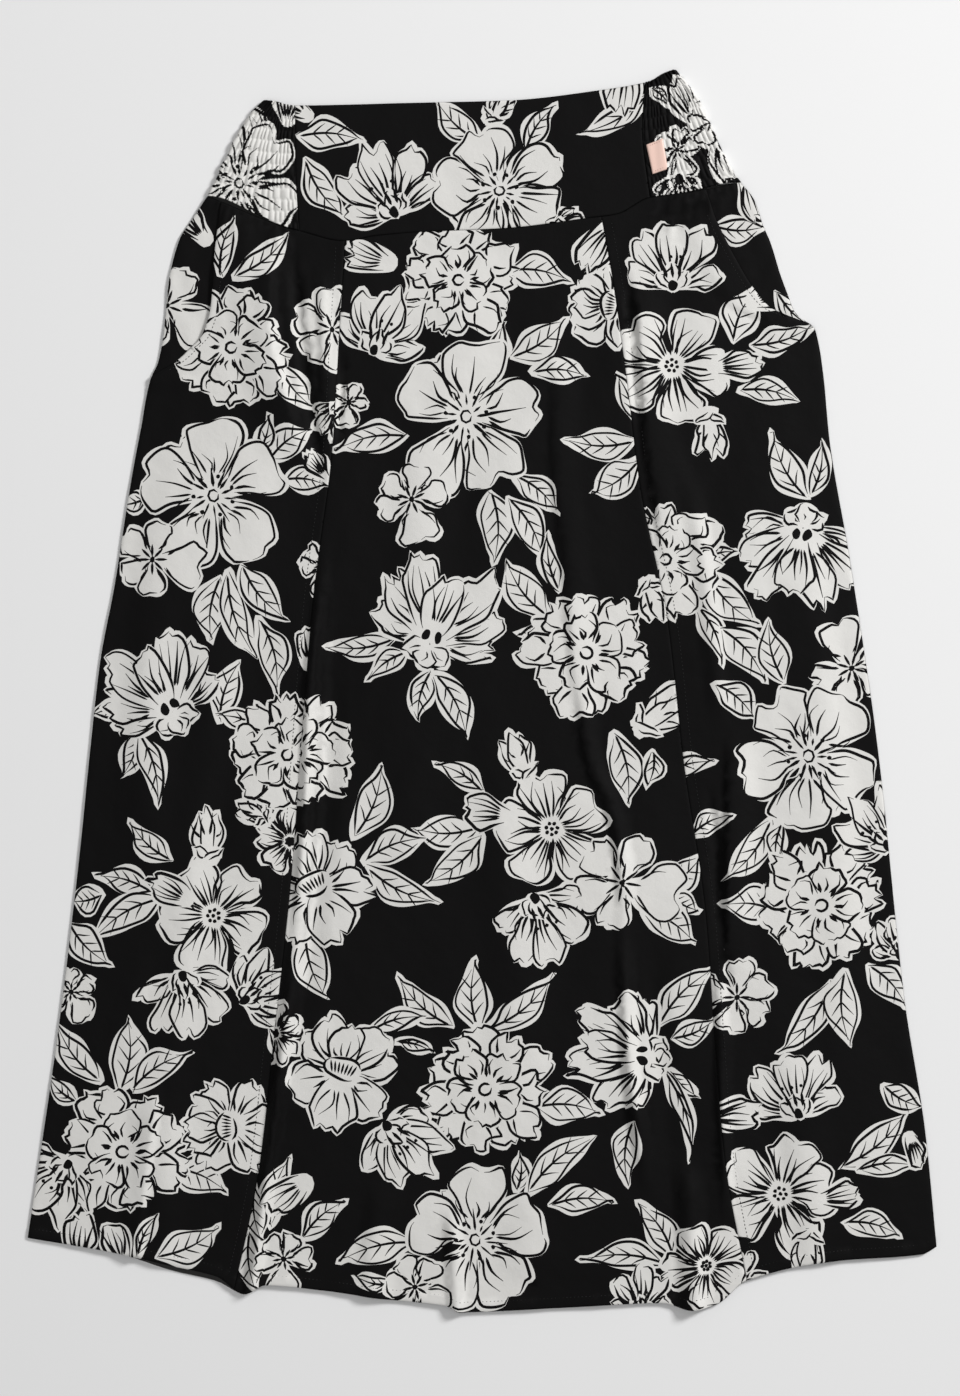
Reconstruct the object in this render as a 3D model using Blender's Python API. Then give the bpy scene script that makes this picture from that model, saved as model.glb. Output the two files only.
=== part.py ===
"""A printed maxi skirt laid flat with its front side up, one closed solid for each sewn piece.

+X points to the right of the laid skirt, +Y from the hem to the waist and +Z up from the surface
that the skirt lies on. Plan tables and layer heights are in millimetres, and only the last step
turns them into metres. "Left" and "right" are the viewer's, looking down on the front.
"""

import bmesh
import bpy
import numpy as np

MM = 0.001

# Thickness of the cloth walls
CLOTH = 1.2
BAND = 2.0
GATHERED = 1.6
LABEL = 0.8

# Clear space between neighbouring pieces, and between a layer and the one below
SEAM_GAP = 0.3
LAYER_GAP = 0.3

# Height of the underside of each layer above the surface
BACK_BASE = 0.0
FRONT_BASE = CLOTH + LAYER_GAP
BAND_BASE = BAND + 2 * LAYER_GAP

# How far the front panels climb from the lower layers to the seam at the waist
WAIST_CLIMB = BAND_BASE - FRONT_BASE
WAIST_RAMP = 26.0

# The facing of each pocket reaches this far behind the mouth, and lifts the panel over it
FACING_TUCK = 20.0
FACING_LIFT = CLOTH + 2 * LAYER_GAP
FACING_FEET = (248.0, 290.0)
LIFT_RAMP = 16.0

# Plan lines that run down the skirt: (y, x)
OUTLINE_LEFT = [
    (388, -215), (373, -225), (354, -237), (323, -245), (276, -250), (257, -254), (246, -259),
    (207, -267), (164, -275), (82, -288), (24, -299), (-46, -307), (-125, -315), (-258, -331),
    (-429, -356),
]
OUTLINE_RIGHT = [
    (399, 203), (385, 214), (365, 221), (351, 227), (328, 234), (309, 241), (295, 247),
    (285, 261), (249, 268), (197, 273), (103, 289), (-46, 311), (-243, 332), (-345, 348),
    (-436, 357),
]
SEAM_LEFT = [
    (352, -107), (271, -112), (189, -117), (71, -132), (-66, -143), (-146, -149), (-265, -162),
    (-379, -175), (-470, -194),
]
SEAM_RIGHT = [
    (372, 94), (327, 102), (250, 113), (162, 124), (54, 146), (-52, 158), (-177, 176),
    (-277, 183), (-363, 190), (-462, 208),
]
MOUTH_LEFT = [
    (384, -204), (346, -209), (303, -212), (279, -219), (268, -229), (258, -240), (248, -257),
]
MOUTH_RIGHT = [
    (394, 176), (370, 184), (336, 201), (312, 216), (301, 226), (296, 236), (291, 249),
]
YOKE_LEFT = [(459, -146), (419, -146), (361, -143)]
YOKE_RIGHT = [(477, 128), (441, 126), (387, 132)]
WAIST_FOLD_LEFT = [(464, -169), (453, -181), (432, -194), (388, -215)]
WAIST_FOLD_RIGHT = [(487, 153), (469, 167), (437, 183), (408, 197), (399, 203)]

# Plan lines that run across the skirt: (x, y)
WAIST_TOP = [(-169, 463), (-146, 459), (-56, 461), (22, 463), (93, 471), (128, 477), (153, 487)]
WAIST_SEAM = [
    (-215, 388), (-166, 368), (-143, 361), (-107, 353), (-84, 357), (-49, 360), (20, 363),
    (84, 371), (106, 374), (132, 387), (164, 391), (203, 399),
]
BACK_SEAM = [(-215, 388), (-6, 378), (203, 399)]
HEM = [
    (-356, -429), (-290, -440), (-242, -451), (-208, -459), (-186, -473), (-170, -466),
    (-125, -470), (-74, -477), (-28, -482), (-16, -487), (56, -484), (141, -480), (164, -485),
    (184, -481), (208, -462), (277, -447), (345, -442), (357, -436),
]

# Soft ridges in the front of the skirt: height, half width, and a crest from waist to hem (x, y)
FOLDS = [
    (2.2, 12, [(-152, 350), (-146, 300), (-137, 210), (-127, 140)]),
    (3.4, 10, [(-120, 130), (-132, 0), (-138, -100), (-149, -230), (-164, -360), (-180, -460)]),
    (2.6, 22, [(50, 240), (62, 140), (72, -40), (104, -110), (114, -220), (128, -365)]),
    (2.4, 16, [(196, -30), (196, -180), (200, -320), (196, -440)]),
    (2.0, 15, [(-22, -420), (-20, -487)]),
    (3.0, 16, [(168, -380), (165, -485)]),
    (2.2, 18, [(226, 380), (228, 330), (238, 250)]),
    (1.8, 26, [(-246, 170), (-262, 20), (-272, -160)]),
    (1.8, 28, [(246, 150), (276, -40), (290, -240)]),
]

# Share of the way across a panel, closer together where ridges run beside the seams
CENTRE_COLUMNS = [
    0, 0.015, 0.03, 0.045, 0.06, 0.085, 0.13, 0.18, 0.24, 0.30, 0.36, 0.42, 0.48, 0.54, 0.59,
    0.64, 0.69, 0.73, 0.77, 0.81, 0.85, 0.89, 0.93, 0.96, 0.98, 1,
]
SIDE_COLUMNS = [0, 0.08, 0.17, 0.27, 0.38, 0.49, 0.6, 0.7, 0.79, 0.87, 0.94, 1]
ROWS = [
    0, 0.035, 0.07, 0.1, 0.122, 0.134, 0.144, 0.152, 0.16, 0.17, 0.19, 0.22, 0.27, 0.33, 0.39,
    0.46, 0.53, 0.6, 0.67, 0.74, 0.81, 0.87, 0.92, 0.96, 1,
]
BACK_COLUMNS = 20
YOKE_COLUMNS = 36
WAIST_ROWS = 5
FACING_GRID = (4, 8)

# The elastic waist: steps round each side fold, shares across its back and its returns
FOLD_STEPS = 5
BACK_STEPS = 20
RETURN_STEPS = 6

# How far the top of the back of the waist lies below the top of the front
BACK_STEP = 1.5

LABEL_CORNERS = [(129, 428), (142, 433), (146, 409), (134, 405)]

PRINTED_CLOTH = (0.09, 0.09, 0.088, 1)
LABEL_CLOTH = (0.78, 0.55, 0.48, 1)


def clear_scene():
    """Take everything out of the file that the script starts in."""
    for thing in list(bpy.data.objects):
        bpy.data.objects.remove(thing, do_unlink=True)


def smooth_line(table, at):
    """Value of a plan line at one key, by a cubic that never overshoots the table's points."""
    key, value = (np.array(column, float) for column in zip(*sorted(table)))
    step = np.diff(key)
    slope = np.diff(value) / step
    tangent = np.concatenate(([slope[0]], np.zeros(len(slope) - 1), [slope[-1]]))
    same_way = slope[:-1] * slope[1:] > 0
    before, after = slope[:-1][same_way], slope[1:][same_way]
    tangent[1:-1][same_way] = 2 * before * after / (before + after)
    i = int(np.clip(np.searchsorted(key, at) - 1, 0, len(step) - 1))
    t = (at - key[i]) / step[i]
    if t < 0 or t > 1:
        end = int(t > 1)
        return value[i + end] + tangent[i + end] * (at - key[i + end])
    return ((1 + 2 * t) * (1 - t) ** 2 * value[i] + t * (1 - t) ** 2 * step[i] * tangent[i]
            + t * t * (3 - 2 * t) * value[i + 1] + t * t * (t - 1) * step[i] * tangent[i + 1])


def dip(line, x):
    """How far a plan line lies off the straight line between its two ends."""
    return smooth_line(line, x) - smooth_line([line[0], line[-1]], x)


def ease(share):
    """Smooth step from 0 to 1."""
    share = min(max(share, 0.0), 1.0)
    return share * share * (3 - 2 * share)


def distance_to(crest, x, y):
    """Distance from a point to a crest line, and how far along the line it is, from 0 to 1."""
    crest = np.array(crest, float)
    start, run = crest[:-1], np.diff(crest, axis=0)
    length = np.hypot(run[:, 0], run[:, 1])
    share = np.clip(((x - start[:, 0]) * run[:, 0] + (y - start[:, 1]) * run[:, 1]) / length ** 2,
                    0, 1)
    away = np.hypot(start[:, 0] + share * run[:, 0] - x, start[:, 1] + share * run[:, 1] - y)
    nearest = int(np.argmin(away))
    done = length[:nearest].sum() + share[nearest] * length[nearest]
    return away[nearest], done / length.sum()


def fold_lift(x, y):
    """How far the ridges raise the front of the skirt at a point."""
    lift = 0.0
    for height, half_width, crest in FOLDS:
        away, along = distance_to(crest, x, y)
        if away < half_width:
            open_end = 1.0 if crest[-1][1] < -400 else ease((1 - along) * 4)
            lift += height * ease(1 - away / half_width) * ease(along * 5) * open_end
    return lift


def waist_climb(x, y):
    """Rise of the layers towards the seam at the waist."""
    return WAIST_CLIMB * ease(1 - (smooth_line(WAIST_SEAM, x) - y) / WAIST_RAMP)


def facing_cover(x, y):
    """Rise of a side panel where it lies over the facing of its pocket."""
    lift = 0.0
    for side, mouth, foot in ((-1, MOUTH_LEFT, FACING_FEET[0]), (1, MOUTH_RIGHT, FACING_FEET[1])):
        inner = smooth_line(mouth, max(y, foot)) - side * (FACING_TUCK + 1)
        across = ease(1 + side * (x - inner) / LIFT_RAMP)
        down = ease(1 + (y - foot + 1) / LIFT_RAMP)
        lift = max(lift, FACING_LIFT * across * down)
    return lift


def front_height(x, y):
    """Underside of the front panels."""
    return FRONT_BASE + waist_climb(x, y) + facing_cover(x, y) + fold_lift(x, y)


def facing_height(x, y):
    """Underside of the pocket facings."""
    return FRONT_BASE + waist_climb(x, y)


def flat_at(height):
    """A level underside."""
    return lambda x, y: height


def side_edge(outline, mouth):
    """Outer edge of a side panel: the pocket mouth, then the outline below it."""
    foot = min(y for y, x in mouth)
    return mouth + [row for row in outline if row[0] < foot - 1]


def behind(mouth, tuck):
    """A line beside a pocket mouth."""
    return [(y, x + tuck) for y, x in mouth]


def stations(rows):
    """Even shares for a row count, or the shares themselves."""
    return np.linspace(0, 1, rows + 1) if isinstance(rows, int) else np.array(rows, float)


def plan_point(across, down, left, right, top, bottom):
    """Point of a panel between its two side lines, its top line and its bottom line."""
    def x_at(y):
        inner = smooth_line(left, y) + SEAM_GAP / 2
        outer = smooth_line(right, y) - SEAM_GAP / 2
        return inner + across * (outer - inner)

    def y_on(line, inset):
        y = smooth_line(line, 0)
        for _ in range(6):
            y = smooth_line(line, x_at(y)) + inset
        return y

    y_top = y_on(top, -SEAM_GAP / 2)
    y = y_top + down * (y_on(bottom, SEAM_GAP / 2) - y_top)
    return x_at(y), y


def material(name, colour, roughness):
    """Cloth finish of a piece."""
    finish = bpy.data.materials.new(name)
    finish.use_nodes = True
    shader = finish.node_tree.nodes["Principled BSDF"]
    shader.inputs["Base Color"].default_value = colour
    shader.inputs["Roughness"].default_value = roughness
    shader.inputs["Metallic"].default_value = 0
    return finish


def sheet(name, columns, rows, place, finish):
    """A sheet: a grid placed by its shares across and down, and raised into a wall.

    Place returns a point of the first surface, and the step from it to the second one.
    """
    across, down = stations(columns), stations(rows)
    grid = bmesh.new()
    bmesh.ops.create_grid(grid, x_segments=len(across) - 1, y_segments=len(down) - 1, size=0.5)
    raised = bmesh.ops.extrude_face_region(grid, geom=grid.faces[:], use_keep_orig=True)
    second = [item for item in raised["geom"] if isinstance(item, bmesh.types.BMVert)]
    bmesh.ops.translate(grid, verts=second, vec=(0, 0, 1))
    for point in grid.verts:
        i = round((point.co.x + 0.5) * (len(across) - 1))
        j = round((0.5 - point.co.y) * (len(down) - 1))
        first, step = place(across[i], down[j])
        point.co = MM * (np.array(first) + round(point.co.z) * np.array(step))
    bmesh.ops.recalc_face_normals(grid, faces=grid.faces[:])
    if grid.calc_volume(signed=True) < 0:
        bmesh.ops.reverse_faces(grid, faces=grid.faces[:])
    mesh = bpy.data.meshes.new(name)
    grid.to_mesh(mesh)
    grid.free()
    mesh.shade_smooth()
    mesh.materials.append(finish)
    piece = bpy.data.objects.new(name, mesh)
    SKIRT.objects.link(piece)
    return piece


def panel(name, columns, rows, edges, height, wall, finish):
    """A piece that lies between four plan lines, with its underside at a height."""
    def place(across, down):
        x, y = plan_point(across, down, *edges)
        return (x, y, height(x, y)), (0, 0, wall)
    return sheet(name, columns, rows, place, finish)


def shirred_waist(name, finish):
    """The elastic waist: across the back, folded at both sides and forward to the yoke."""
    low, high = GATHERED / 2, BAND_BASE + GATHERED / 2
    radius = (high - low) / 2
    return_shares = np.linspace(0, 1, RETURN_STEPS + 1)
    bend_angles = np.linspace(90, 270, FOLD_STEPS + 1)[1:-1]
    path = [("left", share, 0) for share in return_shares]
    path += [("left bend", 1, angle) for angle in bend_angles]
    path += [("back", share, 0) for share in np.linspace(0, 1, BACK_STEPS + 1)]
    path += [("right bend", 1, angle) for angle in bend_angles[::-1]]
    path += [("right", share, 0) for share in return_shares[::-1]]

    def height_line(line, x, bottom):
        return smooth_line(line, x) + (SEAM_GAP / 2 if bottom else 0)

    def edge_point(fold, x_share, x_end, down):
        """Point between a side fold and another line, at a share of the waist's height."""
        y_top = smooth_line(WAIST_TOP, smooth_line(fold, fold[0][0]))
        y_fold = y_top + down * (fold[-1][0] + SEAM_GAP / 2 - y_top)
        x_fold = smooth_line(fold, y_fold)
        x_fold -= np.sign(x_fold) * (radius + GATHERED / 2)
        if x_end is None:
            return x_fold, y_fold
        x = x_end + x_share * (x_fold - x_end)
        y_high = height_line(WAIST_TOP, x, False)
        y_low = height_line(WAIST_SEAM, x, True)
        y_inner = y_high + down * (y_low - y_high)
        return x, y_inner + x_share ** 3 * (y_fold - y_inner)

    def sag(line, x, share, left, right):
        """How far a line lies off the straight one between its points at the two folds."""
        at_left, at_right = dip(line, left[0]), dip(line, right[0])
        return dip(line, x) - at_left - share * (at_right - at_left)

    def wall_at(x, y, z, out, up):
        """The wall's inner point and the step to its outer one, about a point of its middle."""
        half = GATHERED / 2
        return (x - half * out, y, z - half * up), (2 * half * out, 0, 2 * half * up)

    def place(across, down):
        part, share, angle = path[round(across * (len(path) - 1))]
        if part == "back":
            left = edge_point(WAIST_FOLD_LEFT, 1, None, down)
            right = edge_point(WAIST_FOLD_RIGHT, 1, None, down)
            x, chord = (left[axis] + share * (right[axis] - left[axis]) for axis in (0, 1))
            top = sag(WAIST_TOP, x, share, left, right) - 4 * share * (1 - share) * BACK_STEP
            y = chord + (1 - down) * top + down * sag(BACK_SEAM, x, share, left, right)
            return wall_at(x, y, low, 0, -1)
        side = -1 if part.startswith("left") else 1
        fold = WAIST_FOLD_LEFT if side < 0 else WAIST_FOLD_RIGHT
        if angle:
            x, y = edge_point(fold, 1, None, down)
            turn = np.radians(angle)
            out, up = -side * np.cos(turn), np.sin(turn)
            return wall_at(x + radius * out, y, (low + high) / 2 + radius * up, out, up)
        yoke = YOKE_LEFT if side < 0 else YOKE_RIGHT
        y = yoke[0][0]
        for _ in range(4):
            x_seam = smooth_line(yoke, y) + side * SEAM_GAP / 2
            y = edge_point(fold, 0, x_seam, down)[1]
        return wall_at(*edge_point(fold, share, x_seam, down), high, 0, 1)

    return sheet(name, len(path) - 1, WAIST_ROWS, place, finish)


def sewn_label(name, finish):
    """A small plain label, sewn in at the seam between the yoke and the shirring."""
    top_left, top_right, low_right, low_left = (np.array(corner) for corner in LABEL_CORNERS)
    height = BAND_BASE + GATHERED + LAYER_GAP

    def place(across, down):
        head = top_left + across * (top_right - top_left)
        foot = low_left + across * (low_right - low_left)
        x, y = head + down * (foot - head)
        return (x, y, height), (0, 0, LABEL)
    return sheet(name, 4, 3, place, finish)


def centre_on_footprint():
    """Bring the middle of the footprint to the origin, through one parent for all the pieces."""
    bpy.context.view_layer.update()
    corners = []
    for piece in SKIRT.objects:
        corners += [piece.matrix_world @ point.co for point in piece.data.vertices]
    plan = np.array(corners)[:, :2]
    middle = (plan.min(axis=0) + plan.max(axis=0)) / 2
    holder = bpy.data.objects.new("skirt_origin", None)
    SKIRT.objects.link(holder)
    holder.location = (-middle[0], -middle[1], 0)
    for piece in SKIRT.objects:
        if piece is not holder:
            piece.parent = holder


clear_scene()
SKIRT = bpy.data.collections.new("maxi_skirt")
bpy.context.scene.collection.children.link(SKIRT)
PRINT = material("printed_cloth", PRINTED_CLOTH, 0.6)
SHIRRING = material("shirred_cloth", PRINTED_CLOTH, 0.7)
TAG = material("label_cloth", LABEL_CLOTH, 0.5)

panel("skirt_back", BACK_COLUMNS, ROWS, (OUTLINE_LEFT, OUTLINE_RIGHT, BACK_SEAM, HEM),
      flat_at(BACK_BASE), CLOTH, PRINT)
panel("front_centre", CENTRE_COLUMNS, ROWS, (SEAM_LEFT, SEAM_RIGHT, WAIST_SEAM, HEM),
      front_height, CLOTH, PRINT)
panel("front_left", SIDE_COLUMNS, ROWS,
      (side_edge(OUTLINE_LEFT, MOUTH_LEFT), SEAM_LEFT, WAIST_SEAM, HEM),
      front_height, CLOTH, PRINT)
panel("front_right", SIDE_COLUMNS, ROWS,
      (SEAM_RIGHT, side_edge(OUTLINE_RIGHT, MOUTH_RIGHT), WAIST_SEAM, HEM),
      front_height, CLOTH, PRINT)
panel("pocket_facing_left", *FACING_GRID,
      (OUTLINE_LEFT, behind(MOUTH_LEFT, FACING_TUCK), WAIST_SEAM,
       [(-400, FACING_FEET[0]), (0, FACING_FEET[0])]),
      facing_height, CLOTH, PRINT)
panel("pocket_facing_right", *FACING_GRID,
      (behind(MOUTH_RIGHT, -FACING_TUCK), OUTLINE_RIGHT, WAIST_SEAM,
       [(0, FACING_FEET[1]), (400, FACING_FEET[1])]),
      facing_height, CLOTH, PRINT)
panel("front_yoke", YOKE_COLUMNS, WAIST_ROWS, (YOKE_LEFT, YOKE_RIGHT, WAIST_TOP, WAIST_SEAM),
      flat_at(BAND_BASE), BAND, PRINT)
shirred_waist("shirred_waist", SHIRRING)
sewn_label("waist_label", TAG)
centre_on_footprint()
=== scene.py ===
"""The looks of a printed maxi skirt laid flat: every panel is cloth cut along its own print.

Plan positions are in millimetres, +X to the right of the laid skirt and +Y from hem to waist, as in
the model's source. Each sheet is triangulated along the outlines of its flowers and brush lines, so
the print is part of the mesh, and is then lifted into folds, gathers, turned edges and hems.
"""

import bpy
import numpy as np
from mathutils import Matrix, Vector
from mathutils.geometry import delaunay_2d_cdt


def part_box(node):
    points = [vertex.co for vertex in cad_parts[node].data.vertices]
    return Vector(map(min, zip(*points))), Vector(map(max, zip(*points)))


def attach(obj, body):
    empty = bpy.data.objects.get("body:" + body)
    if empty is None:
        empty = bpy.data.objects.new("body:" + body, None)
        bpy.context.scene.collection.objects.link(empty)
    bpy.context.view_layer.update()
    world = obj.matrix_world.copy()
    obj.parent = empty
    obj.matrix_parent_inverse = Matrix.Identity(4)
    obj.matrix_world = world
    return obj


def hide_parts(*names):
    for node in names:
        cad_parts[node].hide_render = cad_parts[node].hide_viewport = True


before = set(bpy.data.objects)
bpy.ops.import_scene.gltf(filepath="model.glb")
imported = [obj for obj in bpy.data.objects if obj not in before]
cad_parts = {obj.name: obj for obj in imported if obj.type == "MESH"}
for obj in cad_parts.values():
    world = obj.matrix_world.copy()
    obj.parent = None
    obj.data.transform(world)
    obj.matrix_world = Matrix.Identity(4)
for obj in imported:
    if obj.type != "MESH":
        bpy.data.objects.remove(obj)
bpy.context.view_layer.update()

MM = 0.001

# ---------------------------------------------------------------- sizes, in millimetres
WALL = 1.2
BAND = 2.0
GATHERED = 1.6
GAP = 0.3
FRONT_TOP = 2 * WALL + GAP
BAND_BASE = BAND + 2 * GAP
BAND_TOP = BAND_BASE + BAND
WAIST_CLIMB = BAND_BASE - WALL - GAP
WAIST_RAMP = 26.0
FACING_TUCK = 20.0
FACING_LIFT = WALL + 2 * GAP
FACING_FEET = (248.0, 290.0)
LIFT_RAMP = 16.0

SHELL = 0.5
HEM_DEPTH = 8.0
TOPSTITCH = 7.0
STITCH_PITCH = 3.0
STITCH_LENGTH = 2.1
THREAD = 0.5

# How closely the print's outlines are sampled, and how far apart the points between them are
FRONT_STEP = 4.0
BACK_STEP = 10.0
FRONT_SPACING = 4.6
LINING_SPACING = 5.0
BACK_SPACING = 16

LOWEST = 0.02        # no cloth goes below this height
NUDGE = 0.4          # how far apart the slope of the cloth is measured
LINING_ASIDE = 2.2   # the lining keeps below the cloth this far to each side
WAIST_SHELL = 0.7
BACK_WAIST_DROP = 2.5
LABEL_SHELL = 0.45

# ---------------------------------------------------------------- plan lines
# Down the skirt: (y, x)
OUTLINE_LEFT = [
    (388, -215), (373, -225), (354, -237), (323, -245), (276, -250), (257, -254), (246, -259),
    (207, -267), (164, -275), (82, -288), (24, -299), (-46, -307), (-125, -315), (-258, -331),
    (-429, -356),
]
OUTLINE_RIGHT = [
    (399, 203), (385, 214), (365, 221), (351, 227), (328, 234), (309, 241), (295, 247),
    (285, 261), (249, 268), (197, 273), (103, 289), (-46, 311), (-243, 332), (-345, 348),
    (-436, 357),
]
SEAM_LEFT = [
    (352, -107), (271, -112), (189, -117), (71, -132), (-66, -143), (-146, -149), (-265, -162),
    (-379, -175), (-470, -194),
]
SEAM_RIGHT = [
    (372, 94), (327, 102), (250, 113), (162, 124), (54, 146), (-52, 158), (-177, 176),
    (-277, 183), (-363, 190), (-462, 208),
]
MOUTH_LEFT = [
    (384, -204), (346, -209), (303, -212), (279, -219), (268, -229), (258, -240), (248, -257),
]
MOUTH_RIGHT = [
    (394, 176), (370, 184), (336, 201), (312, 216), (301, 226), (296, 236), (291, 249),
]
YOKE_LEFT = [(459, -146), (419, -146), (361, -143)]
YOKE_RIGHT = [(477, 128), (441, 126), (387, 132)]
WAIST_FOLD_LEFT = [(464, -169), (453, -181), (432, -194), (388, -215)]
WAIST_FOLD_RIGHT = [(487, 153), (469, 167), (437, 183), (408, 197), (399, 203)]

# Across the skirt: (x, y)
WAIST_TOP = [(-169, 463), (-146, 459), (-56, 461), (22, 463), (93, 471), (128, 477), (153, 487)]
WAIST_SEAM = [
    (-215, 388), (-166, 368), (-143, 361), (-107, 353), (-84, 357), (-49, 360), (20, 363),
    (84, 371), (106, 374), (132, 387), (164, 391), (203, 399),
]
BACK_SEAM = [(-215, 388), (-6, 378), (203, 399)]
HEM = [
    (-356, -429), (-290, -440), (-242, -451), (-208, -459), (-186, -473), (-170, -466),
    (-125, -470), (-74, -477), (-28, -482), (-16, -487), (56, -484), (141, -480), (164, -485),
    (184, -481), (208, -462), (277, -447), (345, -442), (357, -436),
]

# Ridges (raised) and troughs (sunk): lift, width to the left and right, crest from waist to hem
FOLDS = [
    (3.6, 34, 9, [(-152, 366), (-163, 345), (-167, 305), (-163, 262), (-150, 215), (-142, 170)]),
    (-2.6, 8, 7, [(-148, 362), (-145, 315), (-137, 245), (-131, 200), (-123, 150)]),
    (1.8, 7, 9, [(-126, 340), (-124, 290), (-122, 240), (-120, 190)]),
    (-1.8, 5, 5, [(-110, 275), (-110, 240), (-112, 185)]),
    (3.6, 8, 7, [(-119, 132), (-128, 60), (-134, 0), (-137, -80), (-142, -160), (-149, -230)]),
    (4.6, 9, 8, [(-143, -180), (-152, -260), (-161, -330), (-170, -400), (-179, -466)]),
    (-1.6, 5, 16, [(-112, 90), (-118, 0), (-122, -90), (-130, -170), (-140, -250), (-150, -330)]),
    (2.0, 9, 22, [(54, 290), (60, 240), (60, 170), (68, 100), (76, 0), (84, -48)]),
    (3.0, 8, 12, [(78, 20), (84, -50), (100, -88), (109, -130), (112, -200)]),
    (3.8, 9, 10, [(110, -170), (113, -240), (117, -300), (124, -350), (130, -400)]),
    (-1.2, 14, 14, [(134, -180), (138, -260), (146, -340), (150, -420)]),
    (3.0, 7, 30, [(116, 345), (123, 300), (127, 250), (130, 205), (138, 150), (146, 90)]),
    (-1.6, 6, 8, [(112, 330), (117, 290), (120, 240), (124, 200)]),
    (1.8, 12, 12, [(150, 190), (164, 152), (174, 100), (184, 10), (190, -45)]),
    (3.4, 6, 26, [(196, -20), (195, -80), (194, -140), (195, -200), (200, -250)]),
    (-2.0, 7, 6, [(178, -70), (183, -120), (186, -180), (188, -200)]),
    (3.0, 7, 9, [(186, -190), (187, -250), (188, -310), (190, -370), (192, -430)]),
    (2.8, 10, 10, [(-24, -400), (-21, -450), (-19, -487)]),
    (4.2, 15, 15, [(160, -360), (164, -420), (167, -485)]),
    (2.0, 14, 22, [(-78, -380), (-84, -430), (-88, -476)]),
    (2.4, 16, 9, [(224, 388), (221, 360), (229, 320)]),
    (2.2, 9, 14, [(196, 372), (210, 345), (228, 312)]),
    (1.5, 24, 34, [(-238, 210), (-252, 100), (-262, -10), (-268, -120), (-270, -200)]),
    (1.6, 26, 22, [(-205, 60), (-216, -60), (-232, -200), (-246, -330), (-252, -440)]),
    (1.7, 30, 26, [(232, 200), (252, 90), (270, -40), (282, -160), (292, -280)]),
    (1.5, 22, 30, [(236, -250), (250, -340), (262, -440)]),
    (1.2, 34, 30, [(-30, 300), (-38, 180), (-48, 40), (-60, -120), (-70, -260)]),
    (1.3, 30, 36, [(10, 120), (14, -20), (22, -180), (30, -330), (38, -440)]),
    (2.4, 22, 7, [(-252, -300), (-262, -370), (-270, -440)]),
]

# Gathers that run down from the elastic: first and last x, spacing, longest reach, lift
GATHERS = [
    (-206, -150, 6.5, 46, 1.3),
    (137, 198, 6.0, 52, 1.4),
]


# ---------------------------------------------------------------- plan geometry
class Line:
    """A smooth plan line through a table's points, by a cubic that never overshoots them."""

    def __init__(self, table):
        self.key, self.value = (np.array(column, float) for column in zip(*sorted(table)))
        slope = np.diff(self.value) / np.diff(self.key)
        self.tangent = np.concatenate(([slope[0]], np.zeros(len(slope) - 1), [slope[-1]]))
        same_way = slope[:-1] * slope[1:] > 0
        before, after = slope[:-1][same_way], slope[1:][same_way]
        self.tangent[1:-1][same_way] = 2 * before * after / (before + after)

    def __call__(self, at):
        at = np.asarray(at, float)
        i = np.clip(np.searchsorted(self.key, at) - 1, 0, len(self.key) - 2)
        step = self.key[i + 1] - self.key[i]
        t = (at - self.key[i]) / step
        s = np.clip(t, 0, 1)
        end = np.where(t > 1, self.tangent[i + 1], self.tangent[i])
        return ((1 + 2 * s) * (1 - s) ** 2 * self.value[i]
                + s * (1 - s) ** 2 * step * self.tangent[i]
                + s * s * (3 - 2 * s) * self.value[i + 1]
                + s * s * (s - 1) * step * self.tangent[i + 1]
                + (t - s) * step * end)


def ease(share):
    """Smooth step from 0 to 1."""
    share = np.clip(share, 0.0, 1.0)
    return share * share * (3 - 2 * share)


def curve(points, closed=False, step=2.6):
    """Smooth curve through given points, sampled about every step."""
    p = np.array(points, float)
    n = len(p)
    first = np.arange(n if closed else n - 1)
    near = first[:, None] + (-1, 0, 1, 2)
    near = near % n if closed else np.clip(near, 0, n - 1)
    size = np.hypot(*(p[near[:, 2]] - p[near[:, 1]]).T)
    cuts = np.maximum(1, np.ceil(size / step)).astype(int)
    span = np.repeat(first, cuts)
    t = (np.arange(len(span)) - np.repeat(np.cumsum(cuts) - cuts, cuts)) / cuts[span]
    a, b, c, d = (p[near[span, k]] for k in range(4))
    t = t[:, None]
    out = 0.5 * (2 * b + (c - a) * t + (2 * a - 5 * b + 4 * c - d) * t ** 2
                 + (3 * b - a - 3 * c + d) * t ** 3)
    return out if closed else np.vstack((out, p[-1:]))


def to_line(points, x, y):
    """Distance to a line of points, the share of its length there, and the side: + is right."""
    start, run = points[:-1], np.diff(points, axis=0)
    length = np.hypot(*run.T)
    before = np.concatenate(([0], np.cumsum(length)[:-1]))
    best = np.full(len(x), np.inf)
    along, side = np.zeros(len(x)), np.ones(len(x))
    for (x0, y0), (dx, dy), size, done in zip(start, run, length, before):
        t = np.clip(((x - x0) * dx + (y - y0) * dy) / size ** 2, 0, 1)
        away = np.hypot(x0 + t * dx - x, y0 + t * dy - y)
        nearer = away < best
        best[nearer] = away[nearer]
        along[nearer] = done + t[nearer] * size
        side[nearer] = np.sign(dx * (y - y0) - dy * (x - x0))[nearer]
    return best, along / length.sum(), side


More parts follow.
